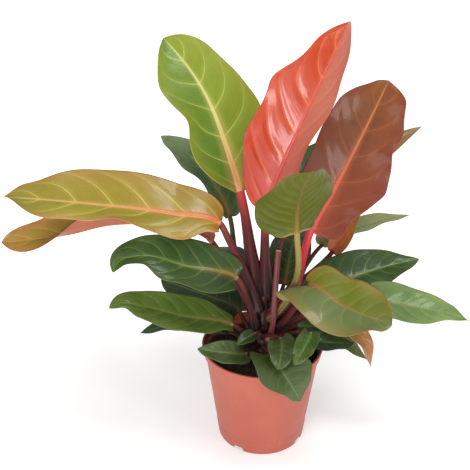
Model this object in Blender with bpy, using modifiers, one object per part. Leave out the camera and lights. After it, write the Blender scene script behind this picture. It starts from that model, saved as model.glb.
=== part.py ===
"""Potted philodendron: a short crown of long-stalked leaves in a tapered nursery pot.

Metres, +Z up. The origin is the centre of the pot's foot, on the surface that it stands on.
The front of the plant faces -Y. The plant's own points are measured from the crown: the middle
of the soil's surface. They are written in millimetres and turned into metres by crown().
"""

import math

import bmesh
import bpy
import numpy as np

MM = 0.001
GAP = 0.0003
FOOT_CLEARANCE = 0.0010

# Pot: a thin tapered shell with a stepped rim and four foot notches. Its floor is raised between
# the foot and a flat middle pad, and a ring of drain holes goes through the raised part.
POT_HEIGHT = 0.150
RIM_RADIUS = 0.085
RIM_BAND = 0.012
RIM_STEP = 0.004
FOOT_RADIUS = 0.0625
RIM_LIP = 0.0012
POT_WALL = 0.0016
FOOT_RAISE = 0.004
FOOT_PAD = 0.020
NOTCH_COUNT = 4
NOTCH_WIDTH = 0.020
NOTCH_HEIGHT = 0.007
NOTCH_NARROWING = 0.3
NOTCH_TURN = math.radians(-33)
DRAIN_COUNT = 6
DRAIN_RADIUS = 0.0045
DRAIN_CIRCLE = 0.040
DRAIN_SIDES = 12
POT_STEPS = 48

# Soil: the root ball, and how far its surface lies below the rim.
SOIL_DEPTH = 0.012
SOIL_DOME = 0.003
SOIL_DOME_LINE = ((0.030, 0.2), (0.055, 0.6))
SOIL_BEVEL = 0.003
SOIL_EDGE = 0.006
SOIL_FOOT_BEVEL = 0.002
SOIL_SHY = POT_WALL + RIM_LIP + GAP
CROWN_Z = POT_HEIGHT - SOIL_DEPTH + SOIL_DOME

# Stem: the crown that the stalks grow from, set into the soil.
STEM_RADIUS = 0.013
STEM_TOP_RADIUS = 0.0055
STEM_HEIGHT = 0.082
STEM_DEPTH = 0.045
STEM_BEVEL = 0.004
STEM_STEPS = 16

# Cut stalk: a round tube with a swollen foot.
CUT_RADIUS = 4.3 * MM
CUT_SWELLS = (1.25, 1.0, 0.95, 0.9)

# Leaves: half the thickness of a blade, and how finely the solids are made.
BLADE_HALF = 0.0007
TIP_HALF = 0.0005
STALK_RINGS = 8
BLADE_RINGS = 10
RING_POINTS = 8


def crown(x, y, z):
    """A point given in millimetres from the crown, in metres from the origin."""
    return (x * MM, y * MM, CROWN_Z + z * MM)


def over_rim(turn, out, z):
    """A point out mm beyond the rim in the direction turn (degrees), z mm above the rim."""
    reach = RIM_RADIUS + out * MM
    angle = math.radians(turn)
    return (reach * math.cos(angle), reach * math.sin(angle), POT_HEIGHT + z * MM)


def stem_radius(height):
    """The stem tapers evenly from the soil to its top."""
    share = min(max(height / STEM_HEIGHT, 0), 1)
    return STEM_RADIUS + (STEM_TOP_RADIUS - STEM_RADIUS) * share


def foot(turn, z, stalk_radius):
    """Where a stalk starts: against the stem, in the direction turn (degrees), z mm up."""
    reach = stem_radius(z * MM) + stalk_radius + FOOT_CLEARANCE
    angle = math.radians(turn)
    return (reach * math.cos(angle), reach * math.sin(angle), CROWN_Z + z * MM)


def smooth_curve(points, where):
    """Points and directions on a smooth curve through the given points.

    where is the distance along the straight lines between the points. Each stretch is a cubic
    whose end slopes are the slopes of the points' distances on both sides.
    """
    points = np.asarray(points, float)
    knots = np.concatenate(([0], np.cumsum(np.linalg.norm(np.diff(points, axis=0), axis=1))))
    slopes = np.gradient(points, knots, axis=0, edge_order=min(2, len(points) - 1))
    where = np.clip(where, 0, knots[-1])
    index = np.clip(np.searchsorted(knots, where, side="right") - 1, 0, len(knots) - 2)
    span = (knots[index + 1] - knots[index])[:, None]
    t = (where - knots[index])[:, None] / span
    a, b = points[index], points[index + 1]
    da, db = slopes[index] * span, slopes[index + 1] * span
    place = (2 * t**3 - 3 * t**2 + 1) * a + (t**3 - 2 * t**2 + t) * da
    place += (3 * t**2 - 2 * t**3) * b + (t**3 - t**2) * db
    slope = (6 * t**2 - 6 * t) * (a - b) + (3 * t**2 - 4 * t + 1) * da + (3 * t**2 - 2 * t) * db
    return place, slope / np.linalg.norm(slope, axis=1)[:, None]


def square_to(vector, along):
    """The part of each vector that is square to its direction, at length one."""
    vector = vector - (vector * along).sum(1)[:, None] * along
    return vector / np.linalg.norm(vector, axis=1)[:, None]


def carried_back(facing, along):
    """The last row's facing, carried back along the directions with the least turning."""
    rows = [facing]
    for direction in along[-2::-1]:
        step = rows[-1] - rows[-1].dot(direction) * direction
        rows.append(step / np.linalg.norm(step))
    return np.array(rows[::-1])


def leaf_rings(leaf, stalk_rings, blade_rings, ring_points):
    """The rings of points of a leaf, from the stalk's foot to the blade's tip.

    The middle line is one smooth curve. Round it, each ring is an ellipse: a small circle along
    the stalk, which widens into the blade and thins to its thickness. The blade's half width is
    t^rise * (1 - t)^fall, and each half bends up by its fold and then round by its curl.
    """
    points = leaf["stalk"] + leaf["blade"]
    steps = np.linalg.norm(np.diff(np.array(points, float), axis=0), axis=1)
    base = steps[: len(leaf["stalk"])].sum()
    total = steps.sum()
    even = np.linspace(0, 1, blade_rings + 1)
    t = np.concatenate((np.zeros(stalk_rings), (1 - np.cos(math.pi * even)) / 2))
    share = np.concatenate((np.linspace(0, 1, stalk_rings, endpoint=False), np.ones(blade_rings + 1)))
    centre, along = smooth_curve(points, base * share + (total - base) * t)
    facing = np.array(leaf["facing"]) + t[:, None] * (
        np.array(leaf["tip_facing"]) - np.array(leaf["facing"])
    )
    up = square_to(facing, along)
    up[: stalk_rings + 1] = carried_back(up[stalk_rings], along[: stalk_rings + 1])
    across = np.cross(along, up)

    rise, fall = leaf["rise"], leaf["fall"]
    peak = rise / (rise + fall)
    spread = (t / peak) ** rise * ((1 - t) / (1 - peak)) ** fall
    swell = 1 + leaf["foot_swell"] * (1 - share) ** 3
    thick = leaf["radius"] * swell * (1 - t) ** 2 + TIP_HALF * t
    half_width = np.hypot(leaf["width"] / 2 * spread, thick)
    half_height = np.where(t > 0, BLADE_HALF + (leaf["radius"] - BLADE_HALF) * (1 - t) ** 6, thick)
    half_height = np.minimum(half_height, thick + BLADE_HALF)
    half_height[-1] = TIP_HALF

    angle = np.arange(ring_points) * 2 * math.pi / ring_points
    side = np.cos(angle)[None, :]
    lift = np.sin(angle)[None, :] * half_height[:, None]
    reach = np.abs(side) * half_width[:, None]
    opened = np.clip(spread * 3, 0, 1)[:, None]
    fold = math.radians(leaf["fold"]) * opened
    curl = math.radians(leaf["curl"]) * np.abs(side) * spread[:, None]
    bend = fold + curl / 2
    out = np.sign(side) * reach * np.cos(bend)
    high = reach * np.sin(bend)
    high = high + leaf["wave"] * opened * side**2 * np.sin(
        2 * math.pi * (leaf["waves"] * t[:, None] + 0.25 * np.sign(side)) + leaf["phase"]
    )
    out = out - np.sign(side) * lift * np.sin(fold + curl)
    high = high + lift * np.cos(fold + curl)
    back = leaf["lobe"] * side**2 * (spread * (1 - t) ** 4)[:, None]
    rings = centre[:, None, :] + out[..., None] * across[:, None, :] + high[..., None] * up[:, None, :]
    return rings - back[..., None] * along[:, None, :]


def leaf(name, colour, stalk, blade, facing, tip_facing, width, radius=3.2, **extra):
    """One leaf's design. Points are in metres; width and radius are in millimetres."""
    design = {
        "rise": 0.45, "fall": 0.7, "fold": 12, "curl": 10, "wave": 0.0, "waves": 2.0,
        "phase": 0.0, "lobe": 12, "foot_swell": 0.1,
    }
    design.update(extra)
    design.update(name=name, colour=colour, stalk=stalk, blade=blade, facing=facing)
    design.update(tip_facing=tip_facing, width=width * MM, radius=radius * MM)
    design["wave"] *= MM
    design["lobe"] *= MM
    return design


def leaf_designs():
    """Every leaf, upper ones first. The front is -Y, the right is +X."""
    return [
        leaf("leaf_lime", "lime",
             [foot(126, 70, 4.0 * MM), crown(-17, 15, 140)],
             [crown(-32, 28, 228), crown(-50, 42, 285), crown(-78, 60, 352), crown(-131, 84, 417)],
             (0.35, -0.9, 0.1), (0.1, -0.75, 0.6), 106, radius=4.0, fold=8, curl=12,
             rise=0.5, fall=0.42),
        leaf("leaf_orange", "orange",
             [foot(70, 76, 4.6 * MM), crown(2, 13, 140)],
             [crown(3, 12, 205), crown(22, 10, 268), crown(55, 14, 350), crown(99, 30, 448)],
             (-0.45, -0.8, 0.35), (-0.35, -0.9, 0.2), 116, radius=4.6, fold=24, curl=14,
             rise=0.5, fall=0.65),
        leaf("leaf_bronze", "bronze",
             [foot(-8, 56, 4.2 * MM), crown(44, -18, 118), crown(51, -21, 160)],
             [crown(59, -13, 188), crown(88, 14, 231), crown(122, 42, 290), crown(162, 76, 365)],
             (0.1, -0.95, 0.3), (0.0, -0.9, 0.4), 118, radius=4.2, fold=8, curl=12,
             rise=0.4, fall=0.4),
        leaf("leaf_tan", "tan",
             [foot(28, 64, 3.0 * MM), crown(60, 24, 100)],
             [crown(98, 45, 129), crown(143, 95, 230), crown(228, 130, 286)],
             (-0.3, -0.75, 0.5), (-0.2, -0.5, 0.8), 44, fold=15),
        leaf("leaf_dusk", "dusk",
             [foot(125, 58, 3.0 * MM), crown(-38, 36, 130)],
             [crown(-46, 42, 185), crown(-76, 95, 224), crown(-148, 160, 262)],
             (0.3, -0.8, 0.5), (0.0, -0.6, 0.8), 60, fold=12),
        leaf("leaf_olive", "olive",
             [foot(-50, 54, 3.4 * MM), crown(34, -34, 105), crown(42, -47, 150)],
             [crown(38, -52, 206), crown(34, -110, 275), crown(41, -178, 335)],
             (-0.35, 0.65, 0.75), (-0.2, 0.6, 0.8), 102, radius=3.4, fold=10, curl=16,
             rise=0.33, fall=0.85),
        leaf("leaf_grey", "dusk",
             [foot(48, 44, 2.8 * MM), crown(54, 54, 88)],
             [crown(88, 85, 120), crown(158, 125, 132), crown(229, 150, 139)],
             (0.1, 0.08, 0.95), (0.0, 0.12, 0.95), 60, radius=2.8),
        leaf("leaf_gold", "gold",
             [foot(235, 66, 4.2 * MM), crown(-28, -3, 128), crown(-48, -7, 176)],
             [crown(-58, -12, 199), crown(-122, -22, 219), crown(-210, -26, 232), crown(-330, -20, 240)],
             (0.25, -0.45, 0.85), (-0.05, -0.45, 0.9), 98, radius=4.2, fold=8, curl=14, fall=0.6),
        leaf("leaf_coral", "coral",
             [foot(175, 58, 3.9 * MM), crown(-38, 12, 104), crown(-60, 17, 142)],
             [crown(-70, 18, 158), crown(-150, 32, 178), crown(-210, 32, 177), crown(-262, 22, 168),
              crown(-311, 2, 169), crown(-344, -15, 174)],
             (0.1, -0.3, 0.95), (-0.2, -0.8, 0.55), 70, radius=3.9, fold=34, fall=0.5),
        leaf("leaf_green_left", "green",
             [foot(222, 40, 3.0 * MM), crown(-20, -18, 85)],
             [crown(-36, -26, 126), crown(-101, -40, 152), crown(-158, -48, 171), crown(-184, -57, 168),
              crown(-192, -64, 156)],
             (0.15, -0.6, 0.8), (-0.3, -0.5, 0.8), 76, radius=3.0, fall=0.6),
        leaf("leaf_blue_left", "deep",
             [foot(160, 22, 2.8 * MM), crown(-30, 16, 44)],
             [crown(-40, 24, 52), crown(-74, 36, 60), crown(-112, 58, 64), crown(-149, 80, 65)],
             (0.1, -0.3, 0.95), (0, -0.3, 0.9), 62, radius=2.8),
        leaf("leaf_low_left", "green",
             [foot(207, 14, 3.0 * MM)],
             [crown(-42, -20, 50), crown(-110, -36, 75), crown(-163, -46, 96), crown(-190, -52, 103),
              crown(-202, -58, 99)],
             (0.1, -0.4, 0.9), (-0.2, -0.4, 0.9), 64, radius=3.0, fall=0.55),
        leaf("leaf_hid_left", "deep",
             [foot(180, 10, 2.6 * MM)],
             [crown(-50, 8, 22), crown(-110, 5, 36), crown(-172, 0, 23)],
             (0, -0.1, 1), (-0.3, -0.1, 0.9), 50, radius=2.6),
        leaf("leaf_green_right", "green",
             [foot(18, 39, 3.0 * MM), crown(50, 2, 82)],
             [crown(84, 0, 96), crown(150, 18, 114), crown(217, 30, 126)],
             (-0.1, -0.4, 0.9), (0.1, -0.4, 0.9), 68, radius=3.0),
        leaf("leaf_far_right", "green",
             [foot(8, 28, 3.0 * MM), crown(65, -17, 70)],
             [crown(119, -20, 88), crown(207, -30, 83), crown(274, -40, 69)],
             (0.0, -0.4, 0.9), (0.2, -0.4, 0.9), 62, radius=3.0),
        leaf("leaf_front_right", "moss",
             [foot(-40, 34, 3.2 * MM), crown(30, -30, 66), crown(44, -44, 100)],
             [crown(57, -52, 130), crown(96, -92, 118), crown(147, -125, 110)],
             (0.1, -0.5, 0.85), (0.3, -0.5, 0.8), 92, radius=3.2, fold=6, lobe=34,
             rise=0.34, fall=0.34),
        leaf("leaf_rust", "rust",
             [foot(5, 20, 2.4 * MM)],
             [crown(95, 0, 48), crown(136, -10, 25), crown(151, -25, -16)],
             (0.3, -0.5, 0.8), (0.7, -0.6, 0.2), 34, radius=2.4),
        leaf("leaf_low_right", "deep",
             [foot(-22, 8, 2.6 * MM)],
             [crown(50, -12, 22), crown(92, -15, 18), crown(129, -8, 12)],
             (0, -0.3, 1), (0, -0.3, 1), 42, radius=2.6),
        leaf("leaf_bright", "fresh",
             [foot(20, 12, 2.4 * MM)],
             [crown(50, 14, 26), over_rim(9, 25, -6), over_rim(4, 68, -38)],
             (0.2, -0.4, 0.9), (0.5, -0.4, 0.7), 36, radius=2.4),
        leaf("leaf_small_front", "fresh",
             [foot(-14, 16, 2.2 * MM), crown(30, -31, 43)],
             [crown(62, -52, 58), crown(54, -68, 50), crown(38, -88, 32)],
             (0.1, -0.6, 0.8), (-0.2, -0.8, 0.5), 30, radius=2.2),
        leaf("leaf_heart", "heart",
             [foot(-85, 10, 2.6 * MM)],
             [crown(10, -62, 30), over_rim(-73, 12, 5), over_rim(-64, 24, -26)],
             (0.1, -0.4, 0.9), (0.3, -0.8, 0.5), 70, radius=2.6, lobe=24, rise=0.28, fall=0.7),
        leaf("leaf_small_dark", "deep",
             [foot(-92, 26, 2.2 * MM), crown(8, -33, 42)],
             [crown(22, -50, 48), crown(22, -74, 42), crown(16, -96, 30)],
             (0, -0.5, 0.9), (0, -0.7, 0.7), 26, radius=2.2),
        leaf("leaf_rim_left", "heart",
             [foot(240, 10, 2.4 * MM)],
             [crown(-24, -45, 20), crown(-56, -65, 36), crown(-89, -60, 38)],
             (0, -0.6, 0.8), (-0.1, -0.6, 0.8), 36, radius=2.4),
        leaf("leaf_tiny", "moss",
             [foot(262, 34, 1.6 * MM)],
             [crown(-12, -36, 47), crown(-24, -47, 46), crown(-36, -56, 42)],
             (0, -0.6, 0.8), (-0.3, -0.6, 0.7), 14, radius=1.6, lobe=3),
        leaf("leaf_inner_right", "deep",
             [foot(40, 12, 2.6 * MM)],
             [crown(40, 36, 40), crown(66, 46, 58), crown(98, 54, 62)],
             (-0.1, -0.8, 0.6), (0.1, -0.7, 0.7), 50, radius=2.6, lobe=14),
        leaf("leaf_rear_mid", "green",
             [foot(80, 46, 3.0 * MM), crown(14, 38, 95)],
             [crown(28, 56, 145), crown(58, 112, 208), crown(98, 178, 250)],
             (-0.3, -0.8, 0.6), (-0.1, -0.5, 0.85), 74, radius=3.0),
        leaf("leaf_rear_right", "green",
             [foot(70, 26, 2.8 * MM)],
             [crown(32, 54, 72), crown(46, 108, 104), crown(66, 168, 110)],
             (0, -0.2, 1), (0.1, 0.3, 0.95), 66, radius=2.8),
        leaf("leaf_rear_left", "deep",
             [foot(125, 24, 2.8 * MM)],
             [crown(-28, 64, 60), crown(-48, 116, 80), crown(-70, 172, 72)],
             (0, -0.2, 1), (-0.1, 0.3, 0.95), 64, radius=2.8),
        leaf("leaf_rear_low", "heart",
             [foot(88, 10, 2.6 * MM)],
             [crown(2, 58, 28), over_rim(86, 13, 6), over_rim(82, 40, -30)],
             (0, 0.3, 0.95), (0, 0.8, 0.5), 56, radius=2.6, lobe=14),
    ]


def clear_scene():
    for thing in list(bpy.data.objects):
        bpy.data.objects.remove(thing)


def new_collection(name):
    collection = bpy.data.collections.new(name)
    bpy.context.scene.collection.children.link(collection)
    return collection


def material(name, colour, roughness):
    """A plain finish: a Principled shader with one colour and roughness."""
    made = bpy.data.materials.new(name)
    made.use_nodes = True
    shader = made.node_tree.nodes["Principled BSDF"]
    shader.inputs["Base Color"].default_value = (*colour, 1)
    shader.inputs["Roughness"].default_value = roughness
    shader.inputs["Metallic"].default_value = 0
    return made


def add_object(name, mesh, collection, finish):
    thing = bpy.data.objects.new(name, mesh)
    collection.objects.link(thing)
    if finish:
        mesh.materials.append(finish)
    return thing


def turned(name, profile, steps, collection, finish=None):
    """A solid of revolution round Z from (radius, height) points, top to bottom on its outside."""
    mesh = bpy.data.meshes.new(name)
    points = [(radius, 0, height) for radius, height in profile]
    mesh.from_pydata(points, [(i, i + 1) for i in range(len(points) - 1)], [])
    thing = add_object(name, mesh, collection, finish)
    screw = thing.modifiers.new("turn", "SCREW")
    screw.steps = steps
    screw.render_steps = steps
    screw.use_merge_vertices = True
    screw.merge_threshold = 0.00001
    screw.use_smooth_shade = True
    return thing


def wall_radius(height):
    """The pot's outer radius below its rim band."""
    top = RIM_RADIUS - RIM_STEP
    return FOOT_RADIUS + (top - FOOT_RADIUS) * height / (POT_HEIGHT - RIM_BAND)


def pot_profile():
    """The pot's section: out over the rim, down the outside, under the foot and up the inside."""
    band = POT_HEIGHT - RIM_BAND
    lip = RIM_LIP
    inner_rim = RIM_RADIUS - POT_WALL
    floor_top = FOOT_RAISE + POT_WALL
    return [
        (inner_rim - lip, POT_HEIGHT - lip),
        (inner_rim, POT_HEIGHT),
        (RIM_RADIUS, POT_HEIGHT),
        (RIM_RADIUS + lip / 2, POT_HEIGHT - lip),
        (RIM_RADIUS + lip / 2, POT_HEIGHT - 2 * lip),
        (RIM_RADIUS, POT_HEIGHT - 2.5 * lip),
        (RIM_RADIUS - lip / 2, band + lip),
        (RIM_RADIUS - lip, band),
        (wall_radius(band), band),
        (wall_radius(POT_HEIGHT / 2), POT_HEIGHT / 2),
        (wall_radius(lip), lip),
        (FOOT_RADIUS - lip, 0),
        (FOOT_RADIUS - 3 * lip, 0),
        (FOOT_RADIUS - 4 * lip, FOOT_RAISE - lip),
        (FOOT_RADIUS - 5 * lip, FOOT_RAISE),
        (FOOT_PAD + FOOT_RAISE, FOOT_RAISE),
        (FOOT_PAD, 0),
        (0, 0),
        (0, POT_WALL),
        (FOOT_PAD - lip, POT_WALL),
        (FOOT_PAD + FOOT_RAISE - lip, floor_top),
        (wall_radius(floor_top) - POT_WALL - lip, floor_top),
        (wall_radius(floor_top + lip) - POT_WALL, floor_top + lip),
        (wall_radius(POT_HEIGHT / 2) - POT_WALL, POT_HEIGHT / 2),
        (inner_rim - RIM_STEP, band - POT_WALL),
        (inner_rim - lip, band + POT_WALL),
        (inner_rim - lip, POT_HEIGHT - lip),
    ]


def cut(thing, cutter):
    """Takes the cutter's shape out of a piece."""
    cutter.hide_render = True
    cutter.display_type = "WIRE"
    boolean = thing.modifiers.new("cut_" + cutter.name, "BOOLEAN")
    boolean.operation = "DIFFERENCE"
    boolean.solver = "EXACT"
    boolean.object = cutter


def notch_cutter(collection):
    """Four sloping blocks through the foot, as one cutter: they don't touch one another."""
    mesh = bpy.data.meshes.new("notch_cutter")
    shape = bmesh.new()
    for index in range(NOTCH_COUNT):
        block = bmesh.ops.create_cube(shape, size=1)["verts"]
        for vert in block:
            narrowing = NOTCH_NARROWING if vert.co.z > 0 else 0
            x = FOOT_RADIUS + vert.co.x * 8 * FOOT_RAISE
            y = vert.co.y * NOTCH_WIDTH * (1 - narrowing)
            z = NOTCH_HEIGHT if vert.co.z > 0 else -FOOT_RAISE
            angle = math.radians(-90) + NOTCH_TURN + index * 2 * math.pi / NOTCH_COUNT
            vert.co = (
                x * math.cos(angle) - y * math.sin(angle),
                x * math.sin(angle) + y * math.cos(angle),
                z,
            )
    shape.to_mesh(mesh)
    shape.free()
    return add_object("notch_cutter", mesh, collection, None)


def drain_cutter(collection):
    """A ring of upright rods through the raised floor."""
    mesh = bpy.data.meshes.new("drain_cutter")
    shape = bmesh.new()
    for index in range(DRAIN_COUNT):
        angle = 2 * math.pi * index / DRAIN_COUNT
        x, y = DRAIN_CIRCLE * math.cos(angle), DRAIN_CIRCLE * math.sin(angle)
        rod = bmesh.ops.create_cone(
            shape, cap_ends=True, segments=DRAIN_SIDES, radius1=DRAIN_RADIUS, radius2=DRAIN_RADIUS,
            depth=6 * POT_WALL,
        )["verts"]
        bmesh.ops.translate(shape, vec=(x, y, FOOT_RAISE), verts=rod)
    shape.to_mesh(mesh)
    shape.free()
    return add_object("drain_cutter", mesh, collection, None)


def build_pot(parts, cutters):
    finish = material("pot_plastic", (0.58, 0.16, 0.10), 0.45)
    pot = turned("pot", pot_profile(), POT_STEPS, parts, finish)
    cut(pot, notch_cutter(cutters))
    cut(pot, drain_cutter(cutters))


def build_soil(parts):
    """The root ball fills the pot a gap away from its wall, with a socket for the stem."""
    finish = material("peat", (0.035, 0.022, 0.015), 0.95)
    surface = POT_HEIGHT - SOIL_DEPTH
    bottom = FOOT_RAISE + POT_WALL + GAP
    socket = STEM_RADIUS + GAP
    profile = [
        (0, CROWN_Z - STEM_DEPTH - GAP),
        (socket, CROWN_Z - STEM_DEPTH - GAP),
        (socket, CROWN_Z),
        *[(radius, CROWN_Z - SOIL_DOME * drop) for radius, drop in SOIL_DOME_LINE],
        (wall_radius(surface) - SOIL_SHY - SOIL_BEVEL, surface),
        (wall_radius(surface - SOIL_EDGE) - SOIL_SHY, surface - SOIL_EDGE),
        (wall_radius(POT_HEIGHT / 2) - SOIL_SHY, POT_HEIGHT / 2),
        (wall_radius(bottom + SOIL_FOOT_BEVEL) - SOIL_SHY, bottom + SOIL_FOOT_BEVEL),
        (wall_radius(bottom + SOIL_FOOT_BEVEL) - SOIL_SHY - SOIL_FOOT_BEVEL, bottom),
        (0, bottom),
    ]
    turned("soil", profile, POT_STEPS, parts, finish)


def build_stem(parts):
    """A tapering stem with a rounded tip; its foot stands in the soil's socket."""
    finish = material("stem_bark", (0.10, 0.07, 0.04), 0.7)
    top = CROWN_Z + STEM_HEIGHT
    profile = [
        (0, top + STEM_TOP_RADIUS * 0.6),
        (STEM_TOP_RADIUS * 0.7, top + STEM_TOP_RADIUS * 0.3),
        (STEM_TOP_RADIUS, top),
        (STEM_RADIUS, CROWN_Z),
        (STEM_RADIUS, CROWN_Z - STEM_DEPTH + STEM_BEVEL),
        (STEM_RADIUS - STEM_BEVEL, CROWN_Z - STEM_DEPTH),
        (0, CROWN_Z - STEM_DEPTH),
    ]
    turned("stem", profile, STEM_STEPS, parts, finish)


def build_cut_stalk(parts):
    """The stub of a removed leaf: a straight stalk, swollen at its foot and cut off flat."""
    finish = material("cut_stalk_skin", (0.20, 0.11, 0.06), 0.6)
    start = foot(-62, 24, CUT_RADIUS * CUT_SWELLS[0])
    points = [start, crown(13, -28, 62), crown(14, -28, 95), crown(18, -20, 164)]
    curve = bpy.data.curves.new("cut_stalk", "CURVE")
    curve.dimensions = "3D"
    curve.bevel_depth = CUT_RADIUS
    curve.bevel_resolution = 2
    curve.use_fill_caps = True
    spline = curve.splines.new("POLY")
    spline.points.add(len(points) - 1)
    for point, place, swell in zip(spline.points, points, CUT_SWELLS):
        point.co = (*place, 1)
        point.radius = swell
    curve.materials.append(finish)
    parts.objects.link(bpy.data.objects.new("cut_stalk", curve))


LEAF_COLOURS = {
    "lime": (0.26, 0.38, 0.04),
    "orange": (0.62, 0.10, 0.04),
    "bronze": (0.25, 0.07, 0.02),
    "tan": (0.30, 0.17, 0.06),
    "dusk": (0.09, 0.17, 0.08),
    "olive": (0.15, 0.20, 0.03),
    "gold": (0.55, 0.36, 0.06),
    "coral": (0.56, 0.21, 0.09),
    "green": (0.07, 0.15, 0.025),
    "deep": (0.03, 0.07, 0.03),
    "moss": (0.18, 0.19, 0.03),
    "rust": (0.48, 0.22, 0.06),
    "fresh": (0.12, 0.27, 0.03),
    "heart": (0.08, 0.12, 0.04),
}


def loft(name, rings):
    """A closed skin over rings of points, with a flat cap at each end."""
    count, around = rings.shape[:2]
    faces = [tuple(range(around))[::-1]]
    for row in range(count - 1):
        for step in range(around):
            beside = (step + 1) % around
            start, above = row * around, (row + 1) * around
            faces.append((start + step, start + beside, above + beside, above + step))
    faces.append(tuple((count - 1) * around + step for step in range(around)))
    mesh = bpy.data.meshes.new(name)
    mesh.from_pydata([tuple(point) for point in rings.reshape(-1, 3)], [], faces)
    return mesh


def build_leaves(parts):
    finishes = {key: material("leaf_" + key, value, 0.4) for key, value in LEAF_COLOURS.items()}
    for design in leaf_designs():
        rings = leaf_rings(design, STALK_RINGS, BLADE_RINGS, RING_POINTS)
        mesh = loft(design["name"], rings)
        shape = bmesh.new()
        shape.from_mesh(mesh)
        bmesh.ops.recalc_face_normals(shape, faces=shape.faces)
        shape.to_mesh(mesh)
        shape.free()
        mesh.shade_smooth()
        add_object(design["name"], mesh, parts, finishes[design["colour"]])


def main():
    clear_scene()
    parts = new_collection("potted_philodendron")
    cutters = new_collection("cutters")
    cutters.hide_render = True
    build_pot(parts, cutters)
    build_soil(parts)
    build_stem(parts)
    build_cut_stalk(parts)
    build_leaves(parts)


main()
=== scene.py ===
"""Potted philodendron: the looks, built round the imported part's frame.

Metres, +Z up, the front of the plant faces -Y. The plant's own points are measured in
millimetres from the crown, the middle of the soil's surface, as in the part's design.
"""

import math

import bpy
import numpy as np
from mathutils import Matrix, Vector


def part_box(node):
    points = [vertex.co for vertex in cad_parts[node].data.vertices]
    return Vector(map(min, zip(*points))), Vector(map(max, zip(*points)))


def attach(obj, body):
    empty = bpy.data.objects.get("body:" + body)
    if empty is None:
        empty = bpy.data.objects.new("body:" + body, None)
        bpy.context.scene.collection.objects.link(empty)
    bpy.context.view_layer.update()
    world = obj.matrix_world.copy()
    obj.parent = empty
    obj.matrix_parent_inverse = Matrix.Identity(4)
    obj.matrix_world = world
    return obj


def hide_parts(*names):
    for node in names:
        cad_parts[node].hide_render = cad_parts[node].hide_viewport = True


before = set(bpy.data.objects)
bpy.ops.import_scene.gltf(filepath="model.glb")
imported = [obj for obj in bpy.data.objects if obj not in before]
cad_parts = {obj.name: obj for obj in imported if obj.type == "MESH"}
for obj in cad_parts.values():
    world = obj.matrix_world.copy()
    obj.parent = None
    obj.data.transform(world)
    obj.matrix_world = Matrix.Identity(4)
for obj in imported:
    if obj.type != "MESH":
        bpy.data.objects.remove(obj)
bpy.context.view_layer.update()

MM = 0.001
_, POT_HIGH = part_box("pot")
SOIL_LOW, SOIL_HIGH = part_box("soil")
STEM_LOW, STEM_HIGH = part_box("stem")

# The pot's lip stands a little proud of its rim.
LIP = 0.0012
POT_HEIGHT = POT_HIGH.z
RIM_RADIUS = POT_HIGH.x - LIP / 2
RIM_BAND = 0.012
RIM_STEP = 0.004
FOOT_RADIUS = 0.0625
POT_WALL = 0.0016
FOOT_RAISE = 0.004
FOOT_PAD = 0.020
NOTCH_COUNT = 4
NOTCH_WIDTH = 0.020
NOTCH_HEIGHT = 0.007
# The share by which a notch is narrower at its top.
NOTCH_NARROWING = 0.3
NOTCH_TURN = math.radians(-33)
DRAIN_COUNT = 6
DRAIN_RADIUS = 0.0045
DRAIN_CIRCLE = 0.040
DRAIN_SIDES = 24
POT_SIDES = 256
# The wall is a little thicker below its foot band.
FOOT_BAND = 0.021
FOOT_BAND_TOP = 0.022
FOOT_BAND_STEP = 0.0004
CORNER_ARC = 0.0006

CROWN_Z = SOIL_HIGH.z
SOIL_RADIUS = SOIL_HIGH.x
SOIL_SIDES = 200
# The soil's middle lies this far below the crown, so that its lumps end level with it.
SOIL_SHY = 0.0012
SOIL_DOME = 0.0034
SOIL_GUTTER = 0.0024
SOIL_EDGE = 0.004
SOIL_EDGE_STEP = 0.0014
ROOT_BALL_FOOT = 0.010
ROOT_BALL_TOP = 0.020
ROOT_BALL_BEVEL = 0.001
CRUMB_COUNT = 620
CRUMB_LEAST = 0.0006
CRUMB_RANGE = 0.0019
STEM_RADIUS = STEM_HIGH.x
STEM_TOP_RADIUS = 0.0055
STEM_HEIGHT = 0.082
# The height over which the stem's top rounds off.
STEM_DOME = 0.0033
STEM_GROOVES = 7
STEM_GROOVE_DEPTH = 0.0006
STEM_RIDGES = 7
STEM_RIDGE_SHARE = 0.035
FOOT_CLEARANCE = 0.0010

CUT_RADIUS = 0.0043
CUT_FOOT_RADIUS = 0.0054
# The rings that close the cut, and how far its middle sinks.
CUT_ROWS = 6
CUT_DISH = 0.0006

# Half the thickness of a blade, and the least radius of its midrib.
BLADE_HALF = 0.00035
EDGE_HALF = 0.00015
# The grid's cell on a blade; on a stalk it is longer.
CELL = 0.0013
LONG_STALK_CELLS = 3
# The share of a blade over which its round stalk opens flat.
OPENING = 0.03
# The share of the midrib's radius that is left near the tip.
RIB_TIP = 0.12
# Fine and faint veins for each main vein.
FINE_VEINS = 7
FAINT_VEINS = 23

# What a colour loses to the light that its gloss adds, and how dark it may get.
GLOSS_SHARE = 0.90
GLOSS_LIGHT = 0.014
DARKEST = 0.004

FLOOR_REACH = 9
FLOOR_TINT = (0.80, 0.80, 0.80)
# The floor glows more away from the pot, as under a softbox.
FLOOR_GLOW_NEAR = (0.40, 0.40, 0.40)
FLOOR_GLOW_FAR = (0.9, 0.9, 0.9)
DAYLIGHT = 0.42
LAMP_AIM = 0.30
CAMERA_PLACE = (-0.0388, -0.88, 0.74)
CAMERA_DIP = math.radians(25.6)
CAMERA_LENS = 56.53


# ---------------------------------------------------------------- materials


def colour(red, green, blue):
    """A display colour of 0 to 255 as the linear colour that a shader takes."""
    return tuple(
        (c / 255 + 0.055) ** 2.4 / 1.055**2.4 if c > 10 else c / 255 / 12.92
        for c in (red, green, blue)
    )


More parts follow.
